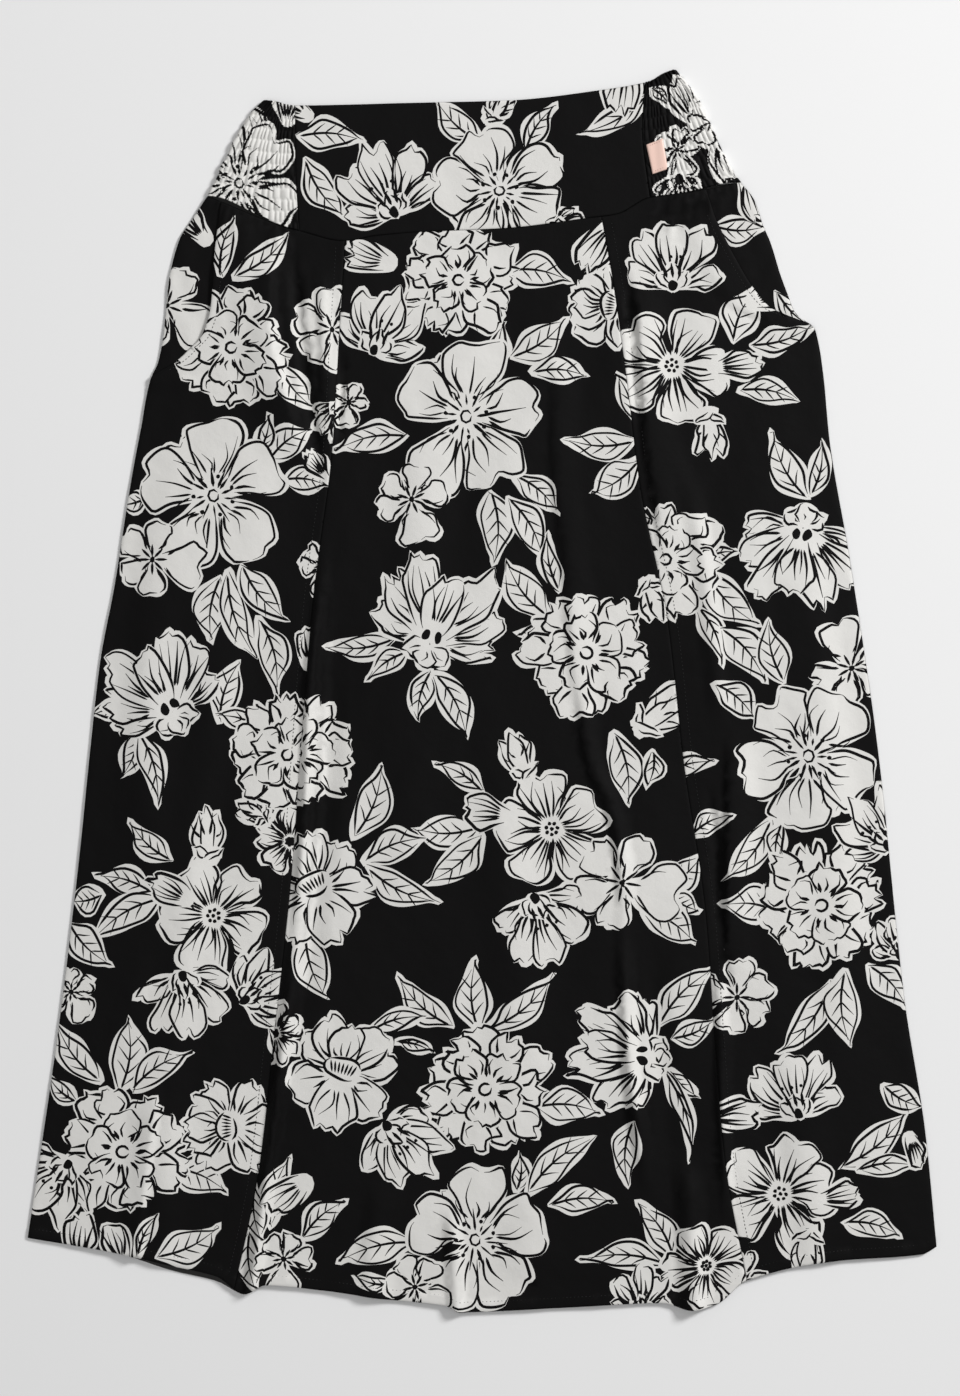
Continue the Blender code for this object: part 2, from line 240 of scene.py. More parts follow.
def windings(x, y, polygon):
    """How many times a polygon runs round each point, so that crossing brush lines still fill."""
    order = np.argsort(y)
    x, y = x[order], y[order]
    following = np.roll(polygon, -1, axis=0)
    firsts = np.searchsorted(y, np.minimum(polygon[:, 1], following[:, 1]))
    lasts = np.searchsorted(y, np.maximum(polygon[:, 1], following[:, 1]))
    turns = np.zeros(len(x), int)
    for k in np.flatnonzero(lasts > firsts):
        part = slice(firsts[k], lasts[k])
        (x0, y0), (x1, y1) = polygon[k], following[k]
        left = (x1 - x0) * (y[part] - y0) - (x[part] - x0) * (y1 - y0)
        turns[part] += (left > 0) if y1 > y0 else -1 * (left < 0)
    found = np.empty(len(x), int)
    found[order] = turns
    return found


def crossing(down, across):
    """y where a line that runs down the skirt meets one that runs across it."""
    y = 0.0
    for _ in range(8):
        y = float(across(down(y)))
    return y


def side_edge(outline, mouth):
    """Outer edge of a side panel: the pocket mouth, then the outline below it."""
    foot = min(y for y, x in mouth)
    return Line(mouth + [row for row in outline if row[0] < foot - 1])


def beside(table, distance):
    """A line down the skirt, moved sideways."""
    return Line([(y, x + distance) for y, x in table])


def border(left, right, top, bottom, kinds, step=2.4):
    """Closed border of a panel, anticlockwise, and for each edge whether it is sewn or free."""
    corners = [crossing(left, top), crossing(left, bottom), crossing(right, bottom),
               crossing(right, top)]

    def down(line, y0, y1):
        y = np.linspace(y0, y1, max(3, int(abs(y1 - y0) / step)))
        return np.column_stack((line(y), y))

    def across(line, x0, x1):
        x = np.linspace(x0, x1, max(3, int(abs(x1 - x0) / step)))
        return np.column_stack((x, line(x)))

    sides = [
        down(left, corners[0], corners[1]),
        across(bottom, float(left(corners[1])), float(right(corners[2]))),
        down(right, corners[2], corners[3]),
        across(top, float(right(corners[3])), float(left(corners[0]))),
    ]
    points = np.vstack([side[:-1] for side in sides])
    edge_kinds = np.concatenate([[kind] * (len(side) - 1) for kind, side in zip(kinds, sides)])
    return points, edge_kinds


def from_border(points, edge_kinds, x, y, kind, reach):
    """Distance to the border edges of one kind, measured only where it is under the reach."""
    order = np.argsort(y)
    x, y = x[order], y[order]
    away = np.full(len(x), float(reach))
    following = np.roll(points, -1, axis=0)
    firsts = np.searchsorted(y, np.minimum(points[:, 1], following[:, 1]) - reach)
    lasts = np.searchsorted(y, np.maximum(points[:, 1], following[:, 1]) + reach)
    for k in np.flatnonzero((edge_kinds == kind) & (lasts > firsts)):
        (x0, y0), (x1, y1) = points[k], following[k]
        part = slice(firsts[k], lasts[k])
        near = firsts[k] + np.flatnonzero(np.abs(x[part] - (x0 + x1) / 2)
                                          < reach + abs(x1 - x0) / 2)
        dx, dy = x1 - x0, y1 - y0
        t = np.clip(((x[near] - x0) * dx + (y[near] - y0) * dy) / (dx * dx + dy * dy), 0, 1)
        found = np.hypot(x0 + t * dx - x[near], y0 + t * dy - y[near])
        away[near] = np.minimum(away[near], found)
    back = np.empty(len(x))
    back[order] = away
    return back


# ---------------------------------------------------------------- the lie of the cloth
LINES = {
    "outline_left": Line(OUTLINE_LEFT), "outline_right": Line(OUTLINE_RIGHT),
    "seam_left": Line(SEAM_LEFT), "seam_right": Line(SEAM_RIGHT),
    "side_left": side_edge(OUTLINE_LEFT, MOUTH_LEFT),
    "side_right": side_edge(OUTLINE_RIGHT, MOUTH_RIGHT),
    "mouth_left": Line(MOUTH_LEFT), "mouth_right": Line(MOUTH_RIGHT),
    "yoke_left": Line(YOKE_LEFT), "yoke_right": Line(YOKE_RIGHT),
    "fold_left": Line(WAIST_FOLD_LEFT), "fold_right": Line(WAIST_FOLD_RIGHT),
    "waist_top": Line(WAIST_TOP), "waist_seam": Line(WAIST_SEAM),
    "back_seam": Line(BACK_SEAM), "hem": Line(HEM),
}
CRESTS = [curve(crest, step=12) for *_, crest in FOLDS]
FOLD_GAIN = 1.4
LOFT = 3.2
LOFT_RAMP = 70.0


def rolling(x, y, seed, waves=5, across=90.0, down=260.0):
    """Slow unevenness of cloth that was laid down by hand, between -1 and 1."""
    rng = np.random.default_rng(seed)
    total = np.zeros(len(x))
    for _ in range(waves):
        kx = 2 * np.pi / (across * rng.uniform(0.6, 1.7))
        ky = 2 * np.pi / (down * rng.uniform(0.6, 1.7)) * rng.choice((-1, 1))
        total += np.sin(kx * x + ky * y + rng.uniform(0, 2 * np.pi))
    return total / waves


def folds(x, y):
    """Ridges and troughs, each faded out at its upper end, and at its lower end unless it meets
    the hem."""
    lift = np.zeros(len(x))
    for (height, left, right, crest), points in zip(FOLDS, CRESTS):
        wide = max(left, right)
        low, high = points.min(axis=0) - wide, points.max(axis=0) + wide
        near = np.flatnonzero((x > low[0]) & (x < high[0]) & (y > low[1]) & (y < high[1]))
        away, along, side = to_line(points, x[near], y[near])
        width = np.where(side > 0, right, left)
        lower = 1.0 if crest[-1][1] < -430 else ease((1 - along) * 3.5)
        lift[near] += (FOLD_GAIN * height * ease(1 - away / width) * ease(along * 3.5)
                       * lower)
    return lift


def gathers(x, y):
    """Short uneven puckers under the elastic at both sides."""
    lift = np.zeros(len(x))
    below = LINES["waist_seam"](x) - y
    for first, last, spacing, reach, height in GATHERS:
        rng = np.random.default_rng(int(reach))
        for at in np.arange(first, last, spacing):
            at += rng.uniform(-1.5, 1.5)
            lean = rng.uniform(-0.12, 0.12) + (at - (first + last) / 2) * 0.006
            long = reach * rng.uniform(0.35, 1.0)
            tall = height * rng.uniform(0.5, 1.1)
            across = np.abs(x - at - lean * below) / (spacing * 0.62)
            lift += tall * ease(1 - across) * ease(1 - below / long) * (below > -1)
    return lift


def facing_cover(x, y):
    """Rise of a side panel where it lies over the facing of its pocket."""
    lift = np.zeros(len(x))
    rows = ((-1, LINES["mouth_left"], FACING_FEET[0]), (1, LINES["mouth_right"], FACING_FEET[1]))
    for side, mouth, foot in rows:
        inner = mouth(np.maximum(y, foot)) - side * (FACING_TUCK + 1)
        across = ease(1 + side * (x - inner) / LIFT_RAMP)
        down = ease(1 + (y - foot + 1) / LIFT_RAMP)
        lift = np.maximum(lift, FACING_LIFT * across * down)
    return lift


def waist_climb(x, y):
    """Rise of the layers towards the seam at the waist."""
    return WAIST_CLIMB * ease(1 - (LINES["waist_seam"](x) - y) / WAIST_RAMP)


def loft(x, y):
    """Air under the front: none at the outline and the seam at the waist, and little at the hem."""
    inward = np.minimum(x - LINES["outline_left"](y), LINES["outline_right"](y) - x)
    below = LINES["waist_seam"](x) - y
    above = y - LINES["hem"](x)
    room = ease(inward / LOFT_RAMP) * ease(below / LOFT_RAMP) * (0.45 + 0.55 * ease(above / 90))
    return room * (LOFT + 1.3 * rolling(x, y, 3))


def front_top(x, y):
    """Outer surface of the front panels before their edges are turned."""
    free = ease((LINES["waist_seam"](x) - y) / 14)
    return (FRONT_TOP + waist_climb(x, y) + facing_cover(x, y) + loft(x, y)
            + np.maximum(folds(x, y), -LOFT) * free + gathers(x, y) * ease(free + 0.35)
            + 0.22 * rolling(x, y, 8, across=26, down=60))


def facing_top(x, y):
    """Outer surface of the pocket facings."""
    return (FRONT_TOP + waist_climb(x, y) + gathers(x, y) * 0.6
            + 0.5 * rolling(x, y, 5, across=30, down=50) * ease((LINES["waist_seam"](x) - y) / 20))


def yoke_top(x, y):
    """Outer surface of the front yoke."""
    return BAND_TOP + 0.25 * rolling(x, y, 11, across=60, down=80)


def back_bottom(x, y):
    """Outer surface of the back, which lies on the surface below."""
    return np.zeros(len(x))


# ---------------------------------------------------------------- drawing the print
def grown(outline, by):
    """A closed outline moved outwards by one distance, or by one for each point."""
    after = np.roll(outline, -1, axis=0)
    run = after - np.roll(outline, 1, axis=0)
    area = np.sum(outline[:, 0] * after[:, 1] - after[:, 0] * outline[:, 1])
    out = np.column_stack((run[:, 1], -run[:, 0])) / np.maximum(np.hypot(*run.T), 1e-9)[:, None]
    return outline + np.sign(area) * np.reshape(by, (-1, 1)) * out


def ribbon(line, width, ends):
    """Outline of a brush line that thins towards its ends, over two shares of its length."""
    run = np.gradient(line, axis=0)
    across = np.column_stack((-run[:, 1], run[:, 0])) / np.maximum(np.hypot(*run.T), 1e-9)[:, None]
    along = np.linspace(0, 1, len(line))
    full = np.minimum(ease(along / max(ends[0], 0.01)), ease((1 - along) / max(ends[1], 0.01)))
    half = (width / 2 * (0.2 + 0.8 * full))[:, None]
    return np.vstack((line + across * half, (line - across * half)[::-1]))


def turned(points, degrees, at=(0, 0)):
    """Points turned about the origin and moved."""
    c, s = np.cos(np.radians(degrees)), np.sin(np.radians(degrees))
    return np.array(points, float) @ np.array([[c, s], [-s, c]]) + at


def arc(wide, tall, first, last, count, rise=0.0):
    """Points on an arc about the middle of a motif, between two angles in radians."""
    return [(wide * np.cos(a), rise + tall * np.sin(a)) for a in np.linspace(first, last, count)]


def spoke(near, far, angle, twist=0.0):
    """A stroke outwards from the middle of a motif, its far end turned a little."""
    return [(near * np.cos(angle), near * np.sin(angle)),
            (far * np.cos(angle + twist), far * np.sin(angle + twist))]


class Pen:
    """Draws one motif in units of its radius. Line widths stay in millimetres."""

    def __init__(self, shapes, x, y, size, degrees, seed, step):
        self.shapes, self.at, self.size, self.degrees = shapes, (x, y), size, degrees
        self.step = step
        self.rng = np.random.default_rng(seed)

    def plan(self, points):
        return turned(np.array(points, float) * self.size, self.degrees, self.at)

    def white(self, points, margin=0.0):
        outline = curve(self.plan(points), closed=True, step=self.step)
        sway = np.sin(np.linspace(0, 6 * np.pi, len(outline)) + self.rng.uniform(0, 6))
        self.shapes.append((grown(outline, margin + 0.7 * margin * sway), False))

    def blot(self, x, y, size, long=1.0, degrees=0.0):
        """A dab of the brush, with its size in millimetres."""
        angle = np.linspace(0, 2 * np.pi, 7, endpoint=False)
        reach = size / 2 * self.rng.uniform(0.8, 1.2, 7)
        dab = turned(np.column_stack((reach * long * np.cos(angle), reach * np.sin(angle))),
                     degrees + self.degrees)
        self.shapes.append((curve(dab + self.plan([(x, y)]), closed=True, step=2.0), True))

    def line(self, points, width, ends=(0.15, 0.5)):
        self.shapes.append((ribbon(curve(self.plan(points), step=self.step), width, ends), True))

    def contour(self, points, width, skip=0.07):
        """The edge of a petal as two brush lines that wander a little inside it."""
        outline = curve(self.plan(points), closed=True, step=self.step)
        count = len(outline)
        sway = np.sin(np.linspace(0, 5 * np.pi, count) + self.rng.uniform(0, 6))
        path = grown(outline, -0.9 - 0.9 * sway)
        middle = self.rng.uniform(0.4, 0.6)
        for start, end in ((skip, middle + 0.02), (middle + self.rng.uniform(-0.02, 0.05),
                                                   1 - skip)):
            part = path[int(count * start):max(int(count * end), int(count * start) + 4)]
            if len(part) > 3:
                self.shapes.append((ribbon(part, width * self.rng.uniform(0.8, 1.25),
                                           (0.18, 0.3)), True))


ROUND_PETAL = [(0, .12), (.2, .4), (.45, .74), (.66, .96), (.84, .9), (.96, .58), (1, .22),
               (.95, -.05), (1.01, -.38), (.95, -.74), (.8, -.96), (.58, -.86), (.36, -.56),
               (.16, -.3), (0, -.12)]
POINTED_PETAL = [(0, .16), (.25, .6), (.5, .92), (.72, .8), (.9, .4), (1.03, .04), (.9, -.38),
                 (.72, -.84), (.48, -.95), (.22, -.62), (0, -.16)]
BROAD_PETAL = [(0, .3), (.3, .72), (.62, 1.02), (.8, .86), (.9, .6), (.99, .42), (.95, .16),
               (1.02, -.06), (.96, -.3), (1, -.55), (.84, -.88), (.6, -1), (.3, -.7), (0, -.3)]


def petal_outline(pen, form, degrees, reach, width, base, wave, at):
    """Outline of one petal in the motif's units."""
    share = np.array(form, float)
    share = share + pen.rng.normal(0, wave, share.shape) * (share[:, :1] > 0.1)
    along, across = base + (reach - base) * share[:, 0], share[:, 1] * width / 2
    return turned(np.column_stack((along, across)), degrees, at)


def blossom(pen, petals, form, base=0.08, lines=4, wave=0.045, ink=2.2, reach=(0.5, 0.85),
            at=(0, 0), start=0.3):
    """Petals, each over the ones before it, given as (direction, reach, width)."""
    lines = lines if pen.step == FRONT_STEP else max(1, lines - 2)
    petals = [(d + pen.rng.uniform(-5, 5), r * pen.rng.uniform(0.92, 1.05),
               w * pen.rng.uniform(0.9, 1.1)) for d, r, w in petals]
    outlines = [petal_outline(pen, form, d, r, w, base, wave, at) for d, r, w in petals]
    for outline in outlines:
        pen.white(outline, 1.5)
    for (direction, length, width), outline in zip(petals, outlines):
        pen.white(outline)
        pen.contour(outline, ink)
        for k in range(lines):
            lean = (k - (lines - 1) / 2) / max(lines - 1, 1) + pen.rng.normal(0, 0.03)
            end = pen.rng.uniform(*reach)
            sway = pen.rng.normal(0, 0.035)
            ray = [(start * length, lean * width * 0.26), (length * (start + end) / 2,
                   lean * width * 0.6 + sway), (length * end, lean * width * 0.7 - sway)]
            pen.line(turned(ray, direction, at), pen.rng.uniform(1.3, 2.5), (0.1, 0.7))


def big_flower(pen):
    """Five broad petals about a curled centre."""
    blossom(pen, [(118, 0.86, 0.62), (80, 1.0, 0.86), (-60, 0.98, 0.86), (14, 1.0, 0.9),
                  (150, 0.98, 0.84), (-126, 1.0, 0.9)], ROUND_PETAL, lines=5, ink=2.1)
    pen.white(arc(0.2, 0.2, 0, 5.6, 10))
    pen.line(arc(0.07, 0.08, 0.4, 6.4, 8), 1.9, (0.05, 0.1))
    for k in range(13):
        a = np.radians(28 * k + pen.rng.uniform(-8, 8))
        near, far = pen.rng.uniform(0.1, 0.16), pen.rng.uniform(0.22, 0.46)
        pen.line(spoke(near, far, a, 0.08), pen.rng.uniform(1.6, 3.0), (0.1, 0.7))
    for k in range(7):
        a = np.radians(53 * k + 12)
        pen.blot(0.27 * np.cos(a), 0.27 * np.sin(a), 3.6)


def peony(pen):
    """Many ruffled petals about five round ones."""
    outer = [(33 * k + pen.rng.uniform(-5, 5), pen.rng.uniform(0.9, 1.04), 0.6)
             for k in (0, 2, 4, 6, 8, 10, 1, 3, 5, 7, 9)]
    blossom(pen, outer, BROAD_PETAL, base=0.3, lines=2, wave=0.07, ink=2.1, start=0.6,
            reach=(0.78, 0.92))
    blossom(pen, [(72 * k + 20, 0.62, 0.58) for k in range(5)], BROAD_PETAL, base=0.05, lines=3,
            ink=2.0, start=0.35, reach=(0.6, 0.85))
    pen.white(arc(0.2, 0.2, 0, 5.6, 9))
    pen.line(arc(0.1, 0.09, 0.3, 6, 7), 2.2, (0.1, 0.2))
    for k in range(7):
        a = np.radians(51 * k + pen.rng.uniform(-9, 9))
        pen.line(spoke(0.2, 0.36, a, 0.1), 3.0, (0.3, 0.5))


def ruffled_flower(pen):
    """A wide flower from its side: long wavy petals that fan out over a short cup."""
    at = (0, -0.55)
    blossom(pen, [(168, 1.0, 0.5), (12, 1.0, 0.5), (140, 1.25, 0.62), (40, 1.25, 0.62),
                  (112, 1.42, 0.66), (66, 1.42, 0.66), (90, 1.2, 0.6)], BROAD_PETAL, base=0.12,
            lines=5, wave=0.05, ink=1.9, at=at, reach=(0.62, 0.9), start=0.34)
    blossom(pen, [(-150, 0.42, 0.4), (-30, 0.42, 0.4), (-90, 0.4, 0.42)], POINTED_PETAL,
            base=0.02, lines=1, ink=1.8, at=at)
    pen.blot(-0.09, -0.42, 6.5, 1.5, 70)
    pen.blot(0.1, -0.4, 6.0, 1.5, 108)


def bold_flower(pen):
    """Five petals with long double lines about a small dense centre."""
    blossom(pen, [(90 + 72 * k, 1.0, 0.88) for k in (0, 2, 4, 1, 3)], ROUND_PETAL, lines=6,
            ink=2.0, reach=(0.6, 0.9), start=0.2)
    pen.white(arc(0.17, 0.17, 0, 5.6, 8))
    for k in range(7):
        a = np.radians(52 * k)
        pen.blot(0.1 * np.cos(a), 0.1 * np.sin(a), 3.2)
    pen.blot(0, 0, 3.4)


def small_flower(pen):
    """A small flower with one large petal and strokes in a star."""
    blossom(pen, [(62, 0.82, 0.7), (128, 0.82, 0.7), (-2, 0.86, 0.68), (186, 0.86, 0.68),
                  (-90, 1.08, 1.05)], ROUND_PETAL, lines=2, ink=1.8)
    for k in range(8):
        a = np.radians(45 * k + 10)
        pen.line(spoke(0.06, 0.34, a), 2.2, (0.1, 0.4))
    pen.blot(0, 0, 4.5)


def cup_flower(pen, form=ROUND_PETAL, spread=34):
    """A flower from its side that opens away from its stalk."""
    at = (0, 0.6)
    blossom(pen, [(-90 - 2 * spread, 1.1, 0.56), (-90 + 2 * spread, 1.1, 0.56),
                  (-90 - spread, 1.45, 0.72), (-90 + spread, 1.45, 0.72), (-90, 1.58, 0.8)],
            form, base=0.1, lines=4, ink=1.9, at=at, reach=(0.6, 0.88))
    blossom(pen, [(-130, 0.5, 0.34), (-50, 0.5, 0.34), (-90, 0.56, 0.4)], POINTED_PETAL,
            base=0.02, lines=0, ink=1.7, at=at)
    for k in (-1, 0, 1):
        pen.line([(0.13 * k, 0.34), (0.2 * k + 0.04, 0.02)], 2.8, (0.2, 0.5))
        pen.blot(0.22 * k + 0.05, -0.12, 3.0)
    pen.blot(0, 0.5, 7.0, 1.3, 90)


def side_flower(pen):
    """A domed flower from its side, with pointed tips."""
    cup_flower(pen, POINTED_PETAL, 30)


def bowl_flower(pen):
    """An open flower that shows the inside of its bowl."""
    blossom(pen, [(150, 1.0, 0.72), (30, 1.0, 0.72), (115, 1.02, 0.72), (65, 1.02, 0.72),
                  (90, 0.9, 0.6), (-150, 1.0, 0.78), (-30, 1.0, 0.78), (-90, 1.0, 0.95)],
            BROAD_PETAL, lines=4, ink=1.9)
    bowl = arc(0.34, 0.22, 0, 5.6, 10, rise=0.1)
    pen.white(bowl)
    pen.contour(bowl, 2.0)
    for k in range(7):
        x = -0.24 + 0.08 * k
        pen.line([(x * 0.7, 0.0), (x, 0.2)], 1.8, (0.2, 0.4))


def bud(pen):
    """A closed bud with three sepals."""
    blossom(pen, [(108, 1.1, 0.8), (72, 1.1, 0.8), (90, 1.2, 0.62)], POINTED_PETAL, base=-0.5,
            lines=2, ink=1.8, at=(0, -0.2))
    blossom(pen, [(150, 0.55, 0.3), (30, 0.55, 0.3)], POINTED_PETAL, base=-0.2, lines=0,
            ink=1.7, at=(0, -0.5))


def one_petal(pen):
    """A single petal that shows from behind other things."""
    blossom(pen, [(90, 1.0, 1.3)], BROAD_PETAL, base=-1.0, lines=5, start=-0.5, at=(0, 0))


def leaf(shapes, x0, y0, x1, y1, width, seed, step):
    """A leaf from its base to its tip."""
    length = float(np.hypot(x1 - x0, y1 - y0))
    pen = Pen(shapes, x0, y0, length, np.degrees(np.arctan2(y1 - y0, x1 - x0)), seed, step)
    half = width / 2 / length
    bend = pen.rng.choice((-1, 1)) * 0.07
    form = [(-.05, .03), (.12, .5), (.34, .98), (.6, .9), (.8, .48), (.94, .12), (1.06, .01),
            (.93, -.14), (.79, -.52), (.57, -.94), (.32, -1), (.11, -.52), (-.05, -.04)]
    outline = [(s, v * half + bend * 4 * s * (1 - s)) for s, v in form]
    outline = [(s + pen.rng.normal(0, 0.012), v + pen.rng.normal(0, 0.012)) for s, v in outline]
    pen.white(outline, 1.7)
    pen.contour(outline, 1.8, 0.02)
    rib = [(s, bend * 4 * s * (1 - s) * 1.1) for s in (0.0, 0.3, 0.6, 0.95)]
    pen.line(rib, 2.0, (0.02, 0.7))
    for k in range(2 if width < 17 else 3):
        s = 0.2 + 0.2 * k
        for side in (-1, 1):
            pen.line([(s, bend * 4 * s * (1 - s) * 1.1), (s + 0.12, side * half * 0.4 + bend),
                      (s + 0.2, side * half * 0.68 + bend * 0.9)], 1.3, (0.05, 0.6))


KINDS = {"F": big_flower, "P": peony, "R": ruffled_flower, "B": bold_flower, "S": small_flower,
         "T": cup_flower, "C": side_flower, "G": bowl_flower, "U": bud, "Q": one_petal}

# Flowers: kind, centre, radius, turn. Leaves: base, tip, width.
CENTRE_FLOWERS = [
    ("P", -18, 322, 45, 0), ("C", -78, 285, 37, 160), ("G", 104, 302, 36, 80),
    ("Q", 92, 350, 24, 150), ("F", -12, 215, 60, 0), ("S", -55, 150, 34, 15),
    ("R", -32, 62, 50, -20), ("P", 82, 30, 50, 150), ("U", 137, -20, 30, -60),
    ("B", 55, -108, 45, 10), ("U", 30, -55, 24, 20), ("Q", 5, -95, 20, 80),
    ("P", -145, -48, 46, 60), ("G", -130, -155, 44, 30), ("S", 110, -150, 45, 70),
    ("T", 48, -180, 36, 20), ("P", 3, -312, 50, 30), ("G", -110, -300, 44, -15),
    ("C", -62, -355, 37, 40), ("R", 108, -282, 44, 80), ("F", -5, -430, 56, 8),
    ("S", -52, -467, 30, 50), ("B", 176, -450, 32, 30), ("S", -155, -445, 26, 0),
    ("Q", -152, -394, 20, 120), ("T", 125, -474, 24, 180), ("U", -128, 318, 16, 20),
    ("Q", -88, 340, 20, 70),
    ("B", -162, -268, 24, 0), ("U", 134, 74, 22, 200), ("S", -104, 226, 18, 0),
]
CENTRE_LEAVES = [
    (22, 330, 68, 322, 25), (25, 262, 65, 290, 24), (15, 256, 17, 288, 15),
    (42, 250, 82, 247, 20), (-60, 200, -112, 190, 22), (8, 155, 10, 102, 26),
    (22, 150, 48, 105, 22), (28, 168, 60, 140, 20), (60, 80, 52, 122, 14),
    (118, 195, 66, 197, 22), (122, 179, 87, 155, 26), (119, 212, 105, 249, 14),
    (-70, 40, -120, 35, 18), (-60, 30, -88, 10, 16), (-40, 15, -50, -22, 18),
    (-35, 12, -12, -35, 22), (50, 60, 20, 100, 26), (50, 42, 28, 45, 12),
    (105, -35, 115, -88, 26), (135, -48, 130, -75, 16), (0, -78, -35, -57, 16),
    (-5, -108, -52, -108, 24), (0, -115, -42, -150, 24), (-90, -132, -45, -115, 24),
    (-88, -140, -35, -165, 22), (-98, -112, -78, -60, 26), (-138, -190, -122, -240, 26),
    (142, -154, 172, -130, 22), (148, -160, 170, -172, 18), (128, -172, 167, -197, 24),
    (-25, -262, -65, -225, 22), (-3, -265, -5, -212, 26), (5, -265, 55, -225, 22),
    (45, -325, 92, -330, 26), (-85, -265, -45, -255, 16), (-65, -275, -38, -283, 10),
    (140, -260, 181, -218, 24), (150, -272, 182, -258, 18), (148, -298, 170, -318, 12),
    (118, -338, 114, -385, 20), (145, -300, 165, -365, 10), (28, -390, 30, -362, 14),
    (38, -390, 88, -350, 24), (55, -402, 102, -400, 20), (-55, -432, -110, -446, 26),
    (-70, -465, -100, -458, 12), (150, -442, 123, -402, 22), (142, -448, 80, -445, 20),
    (-166, -418, -151, -366, 18), (-140, -428, -108, -400, 20), (-178, -388, -172, -430, 20),
    (-182, -425, -176, -470, 22),
]
YOKE_FLOWERS = [
    ("T", -75, 393, 38, 200), ("F", 14, 392, 50, 95), ("U", 12, 455, 18, -40),
    ("Q", 110, 474, 22, 170), ("Q", -146, 458, 14, 60), ("C", 66, 360, 20, 60),
]
YOKE_LEAVES = [
    (-142, 435, -95, 432, 24), (-138, 415, -108, 372, 22), (0, 430, -35, 462, 22),
    (35, 425, 57, 458, 18), (129, 466, 78, 437, 16), (52, 370, 83, 352, 14),
]
LEFT_FLOWERS = [
    ("P", -196, 269, 46, 20), ("S", -117, 283, 38, 100), ("F", -210, 153, 58, 12),
    ("S", -258, 103, 35, 80), ("R", -254, 4, 46, 30), ("B", -210, -176, 45, 25),
    ("U", -214, -117, 26, 0), ("Q", -243, -157, 18, 60), ("T", -231, -240, 34, 10),
    ("C", -172, -234, 32, 120), ("P", -281, -361, 50, 0), ("C", -336, -385, 36, -40),
    ("G", -196, -341, 38, 90), ("Q", -315, -432, 22, 0), ("Q", -286, -434, 18, 20),
    ("Q", -232, 361, 16, 30), ("T", -112, 215, 18, 0), ("S", -124, 98, 22, 0),
    ("B", -150, -118, 26, 0), ("S", -322, -236, 22, 30), ("U", -176, -96, 18, 60),
    ("Q", -134, 34, 16, 0), ("P", -152, -50, 46, 60), ("Q", -128, 176, 14, 40),
]
LEFT_LEAVES = [
    (-205, 326, -194, 370, 18), (-192, 325, -152, 357, 20), (-158, 255, -133, 223, 22),
    (-165, 183, -135, 205, 24), (-175, 187, -166, 215, 14), (-153, 166, -121, 161, 20),
    (-262, 152, -284, 146, 16), (-205, 88, -212, 40, 26), (-199, 90, -178, 28, 22),
    (-187, 97, -154, 57, 22), (-173, 55, -160, 0, 22), (-205, -22, -190, 22, 22),
    (-269, -33, -281, -66, 18), (-268, -33, -253, -88, 18), (-283, -14, -305, -19, 14),
    (-175, -28, -207, -19, 14), (-244, -132, -275, -103, 18), (-259, -157, -301, -145, 20),
    (-254, -163, -303, -193, 24), (-298, -160, -322, -165, 22), (-323, -183, -292, -214, 24),
    (-166, -264, -152, -297, 14), (-301, -304, -333, -262, 22), (-282, -311, -277, -257, 26),
    (-273, -311, -229, -283, 22), (-318, -322, -340, -302, 14), (-241, -374, -201, -391, 28),
    (-269, -441, -254, -411, 12), (-253, -443, -207, -421, 26),
]
RIGHT_FLOWERS = [
    ("Q", 223, 339, 22, 10), ("Q", 226, 312, 20, -60), ("T", 150, 336, 36, 180),
    ("B", 149, 255, 45, 190), ("Q", 199, 255, 20, -80), ("U", 179, 205, 24, 180),
    ("R", 248, 104, 46, 170), ("P", 144, 103, 46, 190), ("S", 290, 18, 35, 200),
    ("F", 256, -51, 60, 184), ("P", 266, -168, 50, 200), ("C", 308, -109, 32, 220),
    ("S", 200, -240, 34, 260), ("T", 245, -314, 34, 190), ("Q", 196, -332, 22, -80),
    ("B", 234, -394, 45, 200), ("Q", 279, -396, 18, -80), ("U", 256, -437, 26, 180),
    ("Q", 340, -360, 14, 200), ("S", 206, -462, 20, 180), ("C", 326, -196, 22, 190),
]
RIGHT_LEAVES = [
    (197, 275, 215, 315, 28), (212, 271, 259, 286, 18), (204, 236, 247, 228, 18),
    (254, 152, 228, 200, 24), (259, 155, 267, 195, 16), (178, 105, 200, 109, 12),
    (176, 93, 215, 53, 26), (171, 64, 189, 22, 16), (189, 48, 222, 9, 28), (236, 9, 225, 54, 24),
    (184, 5, 214, -21, 22), (226, -103, 191, -147, 22), (235, -104, 231, -137, 14),
    (230, -172, 190, -167, 28), (273, -230, 235, -282, 22), (284, -221, 288, -276, 26),
    (305, -216, 333, -247, 24), (284, -372, 333, -330, 22), (296, -375, 340, -372, 16),
    (286, -416, 327, -426, 20), (316, -310, 345, -326, 20), (165, -112, 195, -97, 16),
    (144, -65, 182, -55, 15),
]
FACING_FLOWERS = [("S", -247, 302, 38, 60), ("Q", 212, 388, 20, 200), ("Q", -226, 366, 18, 40)]
FACING_LEAVES = [(184, 364, 222, 364, 20), (232, 312, 262, 284, 14)]
WAIST_FLOWERS = [
    ("Q", -178, 438, 20, 30), ("F", -190, 398, 48, 30), ("Q", -152, 457, 13, 0),
    ("S", 153, 424, 22, 20), ("Q", 190, 418, 20, 200), ("Q", 160, 462, 18, 30),
    ("C", 155, 391, 20, 0), ("S", 180, 446, 24, 60),
]
